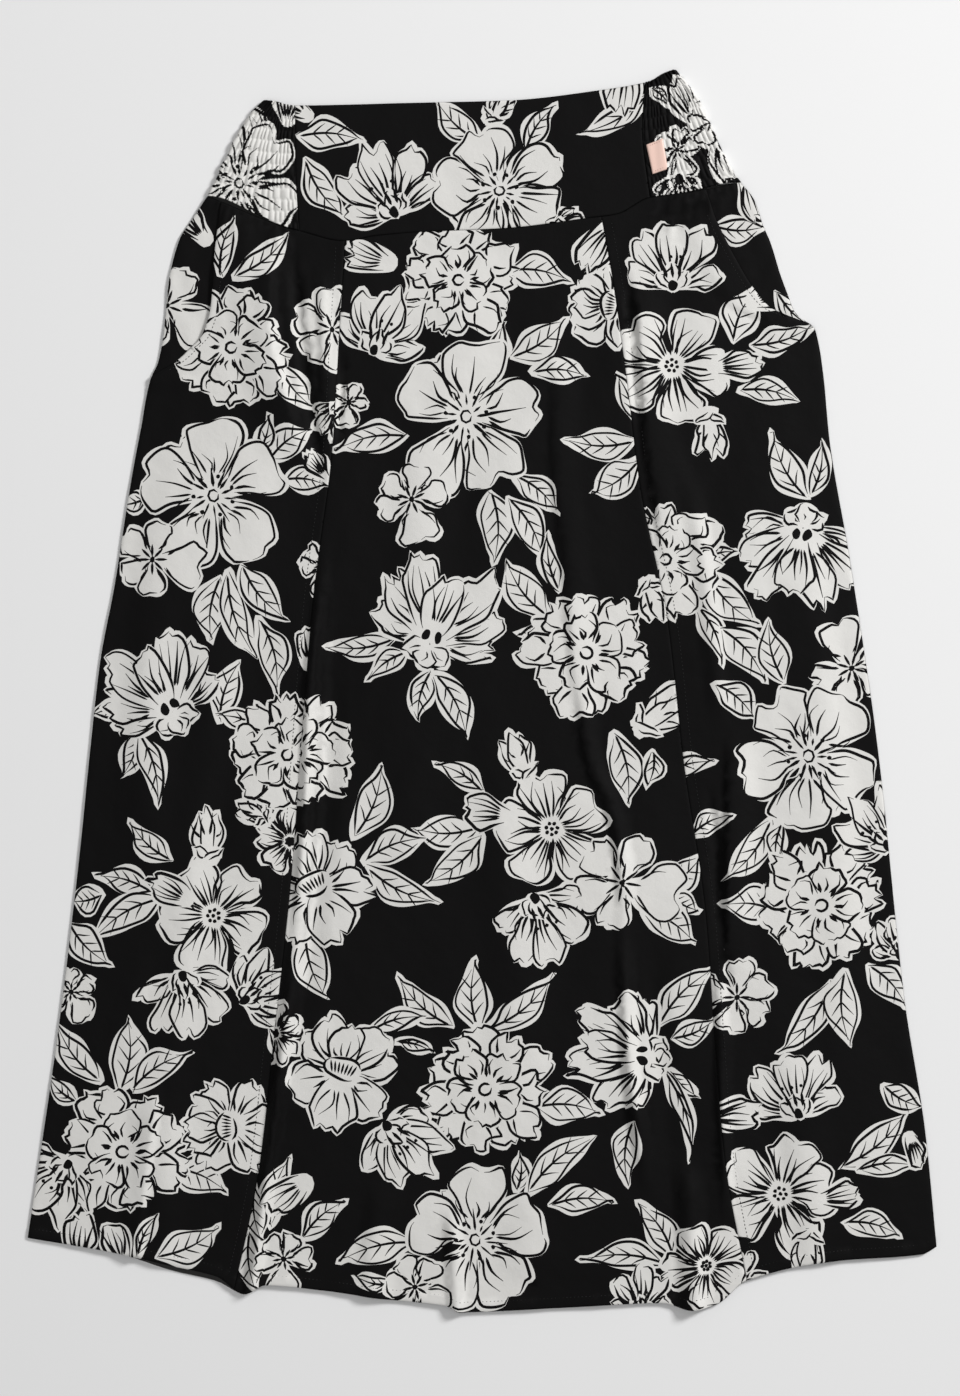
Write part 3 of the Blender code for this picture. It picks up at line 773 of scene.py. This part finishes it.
WAIST_LEAVES = [(-206, 380, -176, 372, 14), (134, 472, 148, 458, 10)]
BACK_KINDS = "FPRBSTGCFPBR"


def drawn(flowers, leaves, seed, step=FRONT_STEP):
    """Shapes of a print in drawing order: leaves, then flowers over them."""
    shapes = []
    for number, row in enumerate(leaves):
        leaf(shapes, *row, seed + number, step)
    for number, (kind, x, y, size, turn) in enumerate(flowers):
        KINDS[kind](Pen(shapes, x, y, size, turn, seed + 100 + number, step))
    return shapes


def scattered():
    """The print of the back: the same motifs in staggered rows, with leaves between them."""
    rng = np.random.default_rng(21)
    flowers, leaves = [], []
    for row in range(10):
        for column in range(7):
            x = -330 + 112 * column + (56 if row % 2 else 0) + rng.uniform(-9, 9)
            y = -450 + 100 * row + rng.uniform(-9, 9)
            kind = BACK_KINDS[(5 * row + 3 * column) % 12]
            flowers.append((kind, x, y, rng.uniform(38, 54), rng.uniform(0, 360)))
            for side in (-1, 1):
                lean = rng.uniform(-14, 14)
                leaves.append((x + side * 36, y + 38, x + side * 60, y + 70 + lean, 21))
    return flowers, leaves


# ---------------------------------------------------------------- cloth cut along its print
def ring(first, count):
    """Edges of a closed outline whose points are numbered from first."""
    return [(first + i, first + (i + 1) % count) for i in range(count)]


def triangulated(points, edges):
    """Triangles of plan points that keep to the edges, and what each new point was made from."""
    found = delaunay_2d_cdt([Vector(point) for point in points], edges, [], 0, 1e-4)
    places, triangles = np.array([tuple(place) for place in found[0]]), np.array(found[2])
    a, b, c = (places[triangles[:, k]] for k in range(3))
    area = (b[:, 0] - a[:, 0]) * (c[:, 1] - a[:, 1]) - (b[:, 1] - a[:, 1]) * (c[:, 0] - a[:, 0])
    triangles[area < 0] = triangles[area < 0][:, ::-1]
    return places, triangles[np.abs(area) > 1e-5], found[3]


def grid_inside(rim, spacing, seed):
    """Jittered grid points inside a rim, with rows that follow it closely."""
    low, high = rim.min(axis=0), rim.max(axis=0)
    x, y = np.meshgrid(np.arange(low[0], high[0], spacing), np.arange(low[1], high[1], spacing))
    jitter = np.random.default_rng(seed).uniform(-0.3, 0.3, (x.size, 2)) * spacing
    points = np.vstack([np.column_stack((x.ravel(), y.ravel())) + jitter]
                       + [grown(rim, -inset) for inset in (0.6, 1.4, 2.8)])
    return points[windings(*points.T, rim) != 0]


def cut_cloth(rim, shapes, spacing, seed):
    """Plan of one piece: its points, its triangles, and which triangles are white."""
    low, high = rim.min(axis=0), rim.max(axis=0)
    points, edges, count, printed = [rim], ring(0, len(rim)), len(rim), []
    for outline, ink in shapes:
        if (outline.max(axis=0) > low).all() and (outline.min(axis=0) < high).all():
            printed.append((outline, ink))
            points.append(outline)
            edges += ring(count, len(outline))
            count += len(outline)
    points.append(grid_inside(rim, spacing, seed))
    places, triangles, _ = triangulated(np.vstack(points), edges)
    centres = places[triangles].mean(axis=1)
    inside = windings(*centres.T, rim) != 0
    triangles, centres = triangles[inside], centres[inside]
    order = np.argsort(centres[:, 0])
    triangles, (x, y) = triangles[order], centres[order].T
    white = np.zeros(len(triangles), bool)
    for outline, ink in printed:
        low, high = outline.min(axis=0), outline.max(axis=0)
        first, last = np.searchsorted(x, (low[0], high[0]))
        near = first + np.flatnonzero((y[first:last] > low[1]) & (y[first:last] < high[1]))
        white[near[windings(x[near], y[near], outline) != 0]] = not ink
    return places, triangles, white


# How each kind of edge is turned: drop of its rim, and how far in the turn starts
TURNS = {"sewn": (0.8, 1.8), "side": (1.2, 4.0), "mouth": (1.0, 2.6), "hem": (1.0, 2.6),
         "tucked": (0.3, 1.0)}


def turned_edges(rim, kinds, x, y):
    """How far the cloth goes down towards its edges, less the thickness of a turned hem."""
    drop = np.zeros(len(x))
    for kind in set(kinds):
        depth, reach = TURNS[kind]
        share = 1 - from_border(rim, kinds, x, y, kind, reach) / reach
        drop += depth * (1 - np.sqrt(1 - (0.97 * share) ** 2))
    if "hem" in kinds:
        away = from_border(rim, kinds, x, y, "hem", HEM_DEPTH + 2)
        drop -= 0.4 * ease((HEM_DEPTH + 1 - away) / 1.6)
    return drop


def printed_piece(name, rim, kinds, shapes, surface, face=1, spacing=FRONT_SPACING,
                  lining=LINING_SPACING, seed=1):
    """A closed thin shell of printed cloth. Its outer side is up, or down where face is -1."""
    def outer_height(x, y):
        return np.maximum(surface(x, y) - face * turned_edges(rim, kinds, x, y), LOWEST)

    def slopes(x, y, z):
        return np.column_stack(((outer_height(x + NUDGE, y) - z) / NUDGE,
                                (outer_height(x, y + NUDGE) - z) / NUDGE))

    places, triangles, white = cut_cloth(rim, shapes, spacing, seed)
    used, triangles = np.unique(triangles, return_inverse=True)
    places, triangles = places[used], triangles.reshape(-1, 3)
    x, y = places.T
    z = outer_height(x, y)
    slope = slopes(x, y, z)

    # The rim of the cut cloth is where a triangle's edge has no neighbour
    sides = np.vstack((triangles[:, :2], triangles[:, 1:], triangles[:, ::2][:, ::-1]))
    key = np.sort(sides, axis=1) @ np.array([len(places), 1])
    _, first, times = np.unique(key, return_index=True, return_counts=True)
    open_sides = sides[first[times == 1]]
    rim_points = np.unique(open_sides)
    number = {int(point): i for i, point in enumerate(rim_points)}
    rim_edges = [(number[int(a)], number[int(b)]) for a, b in open_sides]
    inner_places, inner_triangles, sources = triangulated(
        np.vstack((places[rim_points], grid_inside(rim, lining, seed + 1))), rim_edges)
    centres = inner_places[inner_triangles].mean(axis=1)
    inner_triangles = inner_triangles[windings(*centres.T, rim) != 0]
    partner = {}
    for new, olds in enumerate(sources):
        partner.update({int(rim_points[old]): new for old in olds if old < len(rim_points)})
    inner_x, inner_y = inner_places.T
    over = outer_height(inner_x, inner_y)
    inner_slope = slopes(inner_x, inner_y, over)
    free = np.ones(len(over), bool)
    free[list(partner.values())] = False
    if face > 0:
        for aside in (-LINING_ASIDE, LINING_ASIDE):
            over[free] = np.minimum(over, outer_height(inner_x + aside, inner_y))[free]
    inner_z = over - face * SHELL

    shift = len(places)
    walls = np.array([(b, a, partner[int(a)] + shift, partner[int(b)] + shift)
                      for a, b in open_sides if int(a) in partner and int(b) in partner])
    inner = inner_triangles[:, ::-1] + shift
    if face < 0:
        triangles, walls, inner = triangles[:, ::-1], walls[:, ::-1], inner[:, ::-1]
    vertices = np.vstack((np.column_stack((x, y, z)),
                          np.column_stack((inner_x, inner_y, inner_z))))
    normals = np.vstack((np.column_stack((-slope, np.ones(len(x)))) * face,
                         np.column_stack((inner_slope, -np.ones(len(inner_x)))) * face))
    normals /= np.linalg.norm(normals, axis=1)[:, None]
    faces = triangles.tolist() + inner.tolist() + walls.tolist()
    looks = np.concatenate((white.astype(int), np.full(len(inner), 2), np.zeros(len(walls), int)))
    piece = solid(name + "_cloth", vertices, faces, looks, (GROUND, FLOWERS, WRONG_SIDE))
    piece.data.normals_split_custom_set_from_vertices(normals)
    lay_out_map(piece, len(triangles), len(inner))
    return piece


def solid(name, vertices, faces, looks, finishes):
    """A mesh object from plan millimetres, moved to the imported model's frame."""
    mesh = bpy.data.meshes.new(name)
    mesh.from_pydata(((vertices + (SHIFT, 0, 0)) * MM).tolist(), [], faces)
    for finish in finishes:
        mesh.materials.append(finish)
    mesh.polygons.foreach_set("material_index", np.asarray(looks, np.int32))
    mesh.polygons.foreach_set("use_smooth", np.ones(len(faces), bool))
    mesh.update()
    piece = bpy.data.objects.new(name, mesh)
    bpy.context.scene.collection.objects.link(piece)
    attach(piece, "root")
    return piece


def lay_out_map(piece, outer, inner):
    """A flat map: the outer side on the left, the inner side beside it, the rim in a thin strip."""
    mesh = piece.data
    corners = np.zeros(len(mesh.loops), int)
    mesh.loops.foreach_get("vertex_index", corners)
    at = np.zeros(3 * len(mesh.vertices))
    mesh.vertices.foreach_get("co", at)
    plan = at.reshape(-1, 3)[:, :2]
    share = (plan - plan.min(axis=0)) / np.ptp(plan, axis=0)
    spot = share[corners] * (0.48, 0.98) + (0.005, 0.01)
    spot[3 * outer:] += (0.49, 0)
    rim = np.arange(3 * (outer + inner), len(corners))
    quad = (rim - rim[:1]) // 4 if len(rim) else rim
    order = (rim - 3 * (outer + inner)) % 4
    step = 0.98 / max(1, quad.max() + 1 if len(rim) else 1)
    spot[rim] = np.column_stack((0.984 + 0.012 * (order > 1),
                                 0.01 + step * (quad + np.isin(order, (1, 2)))))
    layer = mesh.uv_layers.new(name="OFBake")
    layer.data.foreach_set("uv", spot.ravel())


def closed_wall(count_wide, count_tall):
    """Faces of a wall between two equal grids of points: one side, the other, and the rim."""
    index = np.arange(count_wide * count_tall).reshape(count_wide, count_tall)
    quads = np.stack((index[:-1, :-1], index[1:, :-1], index[1:, 1:], index[:-1, 1:]),
                     axis=-1).reshape(-1, 4)
    shift = index.size
    loop = np.concatenate((index[:, 0], index[-1, 1:], index[-2::-1, -1], index[0, -2:0:-1]))
    rim = np.column_stack((np.roll(loop, -1), loop, loop + shift, np.roll(loop, -1) + shift))
    return quads, rim, np.vstack((quads, quads[:, ::-1] + shift, rim))[:, ::-1].tolist()


# ---------------------------------------------------------------- the shirred waist
SHIRR_PITCH = 9.0
HEADER = 11.0
PUCKER = 3.9
LEFT_COLUMNS, BACK_COLUMNS, RIGHT_COLUMNS = 100, 190, 104
FOLD_COLUMNS = 9
WAIST_ROWS = 104


def waist_columns():
    """The path round the waist: part, share of it, and the angle within a side fold."""
    path = [(-1, share, 90.0) for share in np.linspace(0, 1, LEFT_COLUMNS)]
    path += [(-1, 1.0, angle) for angle in np.linspace(90, 270, FOLD_COLUMNS)[1:-1]]
    path += [(0, share, 270.0) for share in np.linspace(0, 1, BACK_COLUMNS)]
    path += [(1, 1.0, angle) for angle in np.linspace(270, 90, FOLD_COLUMNS)[1:-1]]
    path += [(1, share, 90.0) for share in np.linspace(1, 0, RIGHT_COLUMNS)]
    return path


def fold_point(side, share, down):
    """Plan point of the front return at a share of the way from the yoke to the side fold."""
    fold = LINES["fold_left" if side < 0 else "fold_right"]
    table = WAIST_FOLD_LEFT if side < 0 else WAIST_FOLD_RIGHT
    yoke = LINES["yoke_left" if side < 0 else "yoke_right"]
    y_top = LINES["waist_top"](fold(table[0][0]))
    y_fold = y_top + down * (table[-1][0] - y_top)
    x_fold = fold(y_fold) - side * (BAND_BASE + GATHERED) / 2
    y = y_fold
    for _ in range(3):
        start = yoke(y) + side * GAP / 2
        x = start + share * (x_fold - start)
        y_inner = (1 - down) * LINES["waist_top"](x) + down * LINES["waist_seam"](x)
        y = y_inner + share ** 3 * (y_fold - y_inner)
    return x, y


def shirred_waist():
    """Cloth gathered on rows of elastic, folded round both sides to the back."""
    path = waist_columns()
    down = np.linspace(0, 1, WAIST_ROWS)
    middle, radius = (BAND_BASE + GATHERED) / 2, BAND_BASE / 2
    left, right = fold_point(-1, 1.0, down), fold_point(1, 1.0, down)
    columns, outs = [], []
    for part, share, angle in path:
        turn = np.radians(angle)
        if part == 0:
            x, y = ((1 - share) * l + share * r for l, r in zip(left, right))
            inward = ease(12 * min(share, 1 - share))
            top = LINES["waist_top"](x) - y[0] - BACK_WAIST_DROP
            foot = LINES["back_seam"](x) + GAP - y[-1]
            y = y + inward * ((1 - down) * top + down * foot)
            z, out, up = middle - radius, 0.0, -1.0
        else:
            x, y = fold_point(part, share, down)
            out, up = part * -np.cos(turn), np.sin(turn)
            x = x + radius * out
            z = middle + radius * up
        columns.append(np.column_stack((x, y, np.full(len(down), z))))
        outs.append((out, 0.0, up))
    mid, out = np.array(columns), np.array(outs)[:, None, :]
    travel = np.cumsum(np.r_[0, np.hypot(*np.diff(mid[:, 50, :2], axis=0).T)])[:, None]
    below = (mid[:, :1, 1] - mid[:, :, 1])
    row = np.floor((below - HEADER) / SHIRR_PITCH)
    between = np.abs(np.sin(np.pi * (below - HEADER) / SHIRR_PITCH))
    rng = np.random.default_rng(4)
    phase = rng.uniform(0, 2 * np.pi, (3, 40))[:, np.clip(row, -1, 38).astype(int) + 1]
    uneven = np.sin(travel / 6.3 + phase[0]) + 0.7 * np.sin(travel / 2.7 + phase[1])
    pucker = np.abs(np.sin(np.pi * travel / PUCKER + 1.1 * uneven + phase[2]))
    puff = between ** 0.6 * (0.25 + 1.35 * pucker ** 0.7) - 0.6 + 0.35 * (1 - between) * pucker
    header = ease((HEADER - below) / HEADER)
    ruffle = 0.7 + 1.0 * np.sin(2 * np.pi * travel / 7.3 + uneven * 2)
    puff = np.where(below < HEADER, puff * (1 - header) + ruffle * header * 0.9, puff)
    flat_back = np.array([0.45 if part == 0 else 1.0 for part, *_ in path])[:, None]
    puff = puff * flat_back * ease((np.arange(len(path)) + 1) / 3)[:, None] \
        * ease((len(path) - np.arange(len(path))) / 3)[:, None]
    wall = GATHERED / 2
    outer = mid + out * (wall * 0.7 + puff)[:, :, None]
    inner = outer - out * WAIST_SHELL
    outer[:, :, 2] = np.maximum(outer[:, :, 2], LOWEST)
    inner[:, :, 2] = np.maximum(inner[:, :, 2], outer[:, :, 2] + 0.5 * (out[:, :, 2] < 0) - 9
                                * (out[:, :, 2] >= 0))
    quads, rim, faces = closed_wall(*outer.shape[:2])
    vertices = np.vstack((outer.reshape(-1, 3), inner.reshape(-1, 3)))
    centres = outer.reshape(-1, 3)[quads].mean(axis=1)
    is_back = np.repeat(np.array([part == 0 for part, *_ in path])[:-1], WAIST_ROWS - 1)
    white = np.zeros(len(quads), bool)
    for shapes, chosen in ((drawn(WAIST_FLOWERS, WAIST_LEAVES, 500), ~is_back),
                           (drawn(*scattered(), 700, BACK_STEP), is_back)):
        for outline, ink in shapes:
            low, high = outline.min(axis=0), outline.max(axis=0)
            near = np.flatnonzero(chosen & (centres[:, 0] > low[0]) & (centres[:, 0] < high[0])
                                  & (centres[:, 1] > low[1]) & (centres[:, 1] < high[1]))
            if len(near):
                hit = windings(centres[near, 0], centres[near, 1], outline) != 0
                white[near[hit]] = not ink
    looks = np.concatenate((white.astype(int), np.full(len(quads), 2), np.zeros(len(rim), int)))
    return solid("shirred_waist_cloth", vertices, faces, looks,
                 (GROUND, FLOWERS, WRONG_SIDE))


# ---------------------------------------------------------------- stitches and the label
def stitches(name, line, surface, pitch=STITCH_PITCH, length=STITCH_LENGTH, thread=None):
    """A row of stitches along a plan line: each is a short thread that dips at both ends."""
    run = np.diff(line, axis=0)
    travel = np.r_[0, np.cumsum(np.hypot(*run.T))]
    at = np.arange(pitch, travel[-1] - pitch, pitch)
    x, y = np.interp(at, travel, line[:, 0]), np.interp(at, travel, line[:, 1])
    ahead = np.interp(at + 0.5, travel, line[:, 0]) - x, np.interp(at + 0.5, travel, line[:, 1]) - y
    size = np.hypot(*ahead)
    dx, dy = ahead[0] / size, ahead[1] / size
    z = surface(x, y)
    offsets = [(-0.5, 0, -0.25), (0, 0.5, 0), (0, -0.5, 0), (0.5, 0, -0.25), (0, 0, 0.55),
               (0, 0, -0.5)]
    parts = [np.column_stack((x + dx * along * length - dy * across * THREAD * 1.4,
                              y + dy * along * length + dx * across * THREAD * 1.4,
                              z + THREAD * up)) for along, across, up in offsets]
    vertices = np.stack(parts, axis=1).reshape(-1, 3)
    form = np.array([(0, 2, 4), (2, 3, 4), (3, 1, 4), (1, 0, 4), (2, 0, 5), (3, 2, 5), (1, 3, 5),
                     (0, 1, 5)])
    faces = (form[None] + 6 * np.arange(len(at))[:, None, None]).reshape(-1, 3)
    return solid(name, vertices, faces.tolist(), np.zeros(len(faces), int),
                 (thread or THREAD_FINISH,))


def label_patch():
    """A plain satin tag, slightly bowed, with its edges turned under."""
    corners = np.array([(129, 428), (142, 433), (146, 409), (134, 405)], float)
    n = 14
    u, v = np.meshgrid(np.linspace(0, 1, n), np.linspace(0, 1, 2 * n), indexing="ij")
    plan = ((1 - u)[..., None] * ((1 - v)[..., None] * corners[0] + v[..., None] * corners[3])
            + u[..., None] * ((1 - v)[..., None] * corners[1] + v[..., None] * corners[2]))
    edge = np.minimum.reduce([u * 14, (1 - u) * 14, v * 25, (1 - v) * 25])
    height = BAND_BASE + GATHERED + 1.0 + 0.35 * np.sin(np.pi * v) + 0.15 * np.sin(9 * u + 2 * v) \
        - 0.35 * (1 - ease(edge / 1.4))
    top = np.dstack((plan, height)).reshape(-1, 3)
    faces = closed_wall(n, 2 * n)[2]
    return solid("waist_label_satin", np.vstack((top, top - (0, 0, LABEL_SHELL))), faces,
                 np.zeros(len(faces), int), (SATIN,))


# ---------------------------------------------------------------- finishes
def finish(name, colour, rough, sheen=0.0, specular=0.1, weave=0.0, crumple=0.0):
    """Cloth of one plain colour, with the relief of its weave and of fine creases."""
    made = bpy.data.materials.new(name)
    made.use_nodes = True
    nodes, links = made.node_tree.nodes, made.node_tree.links
    shader = nodes["Principled BSDF"]
    shader.inputs["Base Color"].default_value = (*colour, 1)
    shader.inputs["Roughness"].default_value = rough
    shader.inputs["Specular IOR Level"].default_value = specular
    shader.inputs["Sheen Weight"].default_value = sheen
    shader.inputs["Sheen Roughness"].default_value = 0.4
    if weave or crumple:
        place = nodes.new("ShaderNodeTexCoord")
        fine, soft = nodes.new("ShaderNodeTexNoise"), nodes.new("ShaderNodeTexNoise")
        fine.inputs["Scale"].default_value = 1500
        soft.inputs["Scale"].default_value = 55
        soft.inputs["Detail"].default_value = 3
        bumps = []
        for noise, strength, depth in ((soft, crumple, 0.004), (fine, weave, 0.0004)):
            bump = nodes.new("ShaderNodeBump")
            bump.inputs["Strength"].default_value = strength
            bump.inputs["Distance"].default_value = depth
            links.new(place.outputs["Object"], noise.inputs["Vector"])
            links.new(noise.outputs["Fac"], bump.inputs["Height"])
            bumps.append(bump)
        links.new(bumps[0].outputs["Normal"], bumps[1].inputs["Normal"])
        links.new(bumps[1].outputs["Normal"], shader.inputs["Normal"])
    return made


GROUND = finish("black_cloth", (0.0030, 0.0028, 0.0029), 0.7, 0.008, 0.085, 0.3, 0.2)
FLOWERS = finish("off_white_cloth", (0.7, 0.69, 0.665), 0.8, 0.04, 0.08, 0.3, 0.2)
WRONG_SIDE = finish("wrong_side_cloth", (0.05, 0.049, 0.048), 0.85, 0.03, 0.1)
THREAD_FINISH = finish("black_thread", (0.012, 0.012, 0.012), 0.6, 0.0, 0.3)
PALE_THREAD = finish("pale_thread", (0.7, 0.5, 0.44), 0.6, 0.0, 0.3)
SATIN = finish("pale_satin", (0.8, 0.56, 0.48), 0.38, 0.1, 0.45)
FLOOR = finish("paper", (0.84, 0.84, 0.84), 0.9)


# ---------------------------------------------------------------- the pieces
low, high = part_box("skirt_back")
outline_x = [float(LINES[side](row)) for side in ("outline_left", "outline_right")
             for row in np.linspace(-440, 380, 40)]
SHIFT = (low.x + high.x) / 2 / MM - (min(outline_x) + max(outline_x)) / 2


def kinds_by_height(rim, kinds, side, foot):
    """The outer edge of a side panel is a pocket mouth above its foot, and a side seam below."""
    middle = (rim + np.roll(rim, -1, axis=0)) / 2
    return np.where((kinds == side) & (middle[:, 1] > foot), "mouth", kinds)


def declare(node):
    """Hides the imported part that a piece stands for."""
    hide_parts(node)


def hem_row(left, right, surface, name):
    """The row of stitches that holds a hem, between two plan lines."""
    y = HEM_DEPTH + crossing(left, LINES["hem"]), HEM_DEPTH + crossing(right, LINES["hem"])
    x = np.linspace(float(left(y[0])) + 2, float(right(y[1])) - 2, 90)
    line = np.column_stack((x, LINES["hem"](x) + HEM_DEPTH))
    return stitches(name, line, surface)


def down_line(line, top, bottom, shift=0.0):
    """Plan points down a line, moved sideways."""
    y = np.linspace(top, bottom, 160)
    return np.column_stack((line(y) + shift, y))


def sewn_top(x, y):
    """Where the stitches lie on the front panels."""
    return front_top(x, y) + 0.12


floor_half = 3.0
mesh = bpy.data.meshes.new("floor")
mesh.from_pydata([(-floor_half, -floor_half, 0), (floor_half, -floor_half, 0),
                  (floor_half, floor_half, 0), (-floor_half, floor_half, 0)], [], [(0, 1, 2, 3)])
mesh.materials.append(FLOOR)
floor = bpy.data.objects.new("floor", mesh)
bpy.context.scene.collection.objects.link(floor)

BACK_HEM = Line([(x, y - (4.0 if -275 < x < -195 else 0.0)) for x, y in HEM])
rim, kinds = border(LINES["outline_left"], LINES["outline_right"], LINES["back_seam"], BACK_HEM,
                    ("side", "hem", "side", "sewn"), step=5)
back = printed_piece("skirt_back", rim, kinds, drawn(*scattered(), 900, BACK_STEP), back_bottom,
                     face=-1, spacing=BACK_SPACING, lining=BACK_SPACING, seed=2)
declare("skirt_back")

rim, kinds = border(LINES["seam_left"], LINES["seam_right"], LINES["waist_seam"], LINES["hem"],
                    ("sewn", "hem", "sewn", "sewn"))
centre = printed_piece("front_centre", rim, kinds, drawn(CENTRE_FLOWERS, CENTRE_LEAVES, 10),
                       front_top, seed=3)
row = hem_row(LINES["seam_left"], LINES["seam_right"], sewn_top, "centre_hem_stitches")
declare("front_centre")

for side, word in ((-1, "left"), (1, "right")):
    seam, outer = LINES["seam_" + word], LINES["side_" + word]
    mouth_table, flowers, leaves = ((MOUTH_LEFT, LEFT_FLOWERS, LEFT_LEAVES) if side < 0 else
                                    (MOUTH_RIGHT, RIGHT_FLOWERS, RIGHT_LEAVES))
    foot = min(y for y, x in mouth_table)
    edges = (outer, seam) if side < 0 else (seam, outer)
    words = ("side", "hem", "sewn", "sewn") if side < 0 else ("sewn", "hem", "side", "sewn")
    rim, kinds = border(*edges, LINES["waist_seam"], LINES["hem"], words)
    kinds = kinds_by_height(rim, kinds, "side", foot - 6)
    panel = printed_piece("front_" + word, rim, kinds, drawn(flowers, leaves, 200 + 60 * side),
                          front_top, seed=5 + side)
    top, bottom = crossing(seam, LINES["waist_seam"]), crossing(seam, LINES["hem"])
    rows = [stitches(word + "_topstitch", down_line(seam, top - 3, bottom + 9, side * TOPSTITCH),
                     sewn_top),
            hem_row(*edges, sewn_top, word + "_hem_stitches"),
            stitches(word + "_pocket_stitches",
                     down_line(LINES["mouth_" + word], mouth_table[0][0] - 16, foot + 1,
                               -side * 6.0), sewn_top)]
    declare("front_" + word)

    foot_line = Line([(-400, FACING_FEET[side > 0]), (400, FACING_FEET[side > 0])])
    inner = beside(mouth_table, -side * FACING_TUCK)
    outline = LINES["outline_" + word]
    edges = (outline, inner) if side < 0 else (inner, outline)
    words = ("side", "tucked", "tucked", "sewn") if side < 0 else ("tucked", "tucked", "side",
                                                                     "sewn")
    rim, kinds = border(*edges, LINES["waist_seam"], foot_line, words)
    facing = printed_piece("pocket_facing_" + word, rim, kinds,
                           drawn(FACING_FLOWERS, FACING_LEAVES, 300), facing_top, seed=9 + side)
    declare("pocket_facing_" + word)

rim, kinds = border(LINES["yoke_left"], LINES["yoke_right"], LINES["waist_top"],
                    LINES["waist_seam"], ("sewn", "sewn", "sewn", "mouth"))
yoke = printed_piece("front_yoke", rim, kinds, drawn(YOKE_FLOWERS, YOKE_LEAVES, 400), yoke_top,
                     seed=12)
declare("front_yoke")

waist = shirred_waist()
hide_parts("shirred_waist")

label = label_patch()
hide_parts("waist_label")
tag_rows = [stitches("label_stitches_" + name, np.array(ends, float),
                     lambda x, y: np.full(len(x), BAND_BASE + GATHERED + 1.3),
                     1.9, 1.3, PALE_THREAD)
            for name, ends in (("top", [(130.5, 427), (141.5, 431)]),
                               ("foot", [(135, 407), (145, 411)]))]


# ---------------------------------------------------------------- light and camera
def lamp(name, place, aim, size, watts):
    """A soft square light that faces a point."""
    light = bpy.data.lights.new(name, "AREA")
    light.size, light.energy = size, watts
    stand = bpy.data.objects.new(name, light)
    stand.location = place
    stand.rotation_euler = (Vector(aim) - Vector(place)).to_track_quat("-Z", "Y").to_euler()
    bpy.context.scene.collection.objects.link(stand)


lamp("window", (3.3, 2.3, 2.6), (-0.3, -0.2, 0), 1.1, 215)
lamp("ceiling", (-0.6, -0.3, 3.2), (-0.2, -0.2, 0), 2.4, 24)
sky = bpy.data.worlds.new("room")
sky.use_nodes = True
sky.node_tree.nodes["Background"].inputs["Color"].default_value = (1, 1, 1, 1)
sky.node_tree.nodes["Background"].inputs["Strength"].default_value = 0.25
bpy.context.scene.world = sky
bpy.context.scene.view_settings.view_transform = "Standard"

lens = bpy.data.cameras.new("above")
lens.sensor_fit, lens.sensor_height, lens.lens = "VERTICAL", 36, 85
camera = bpy.data.objects.new("above", lens)
camera.location = (-0.0012 + SHIFT * MM, -0.0055, 2.5875)
bpy.context.scene.collection.objects.link(camera)
bpy.context.scene.camera = camera
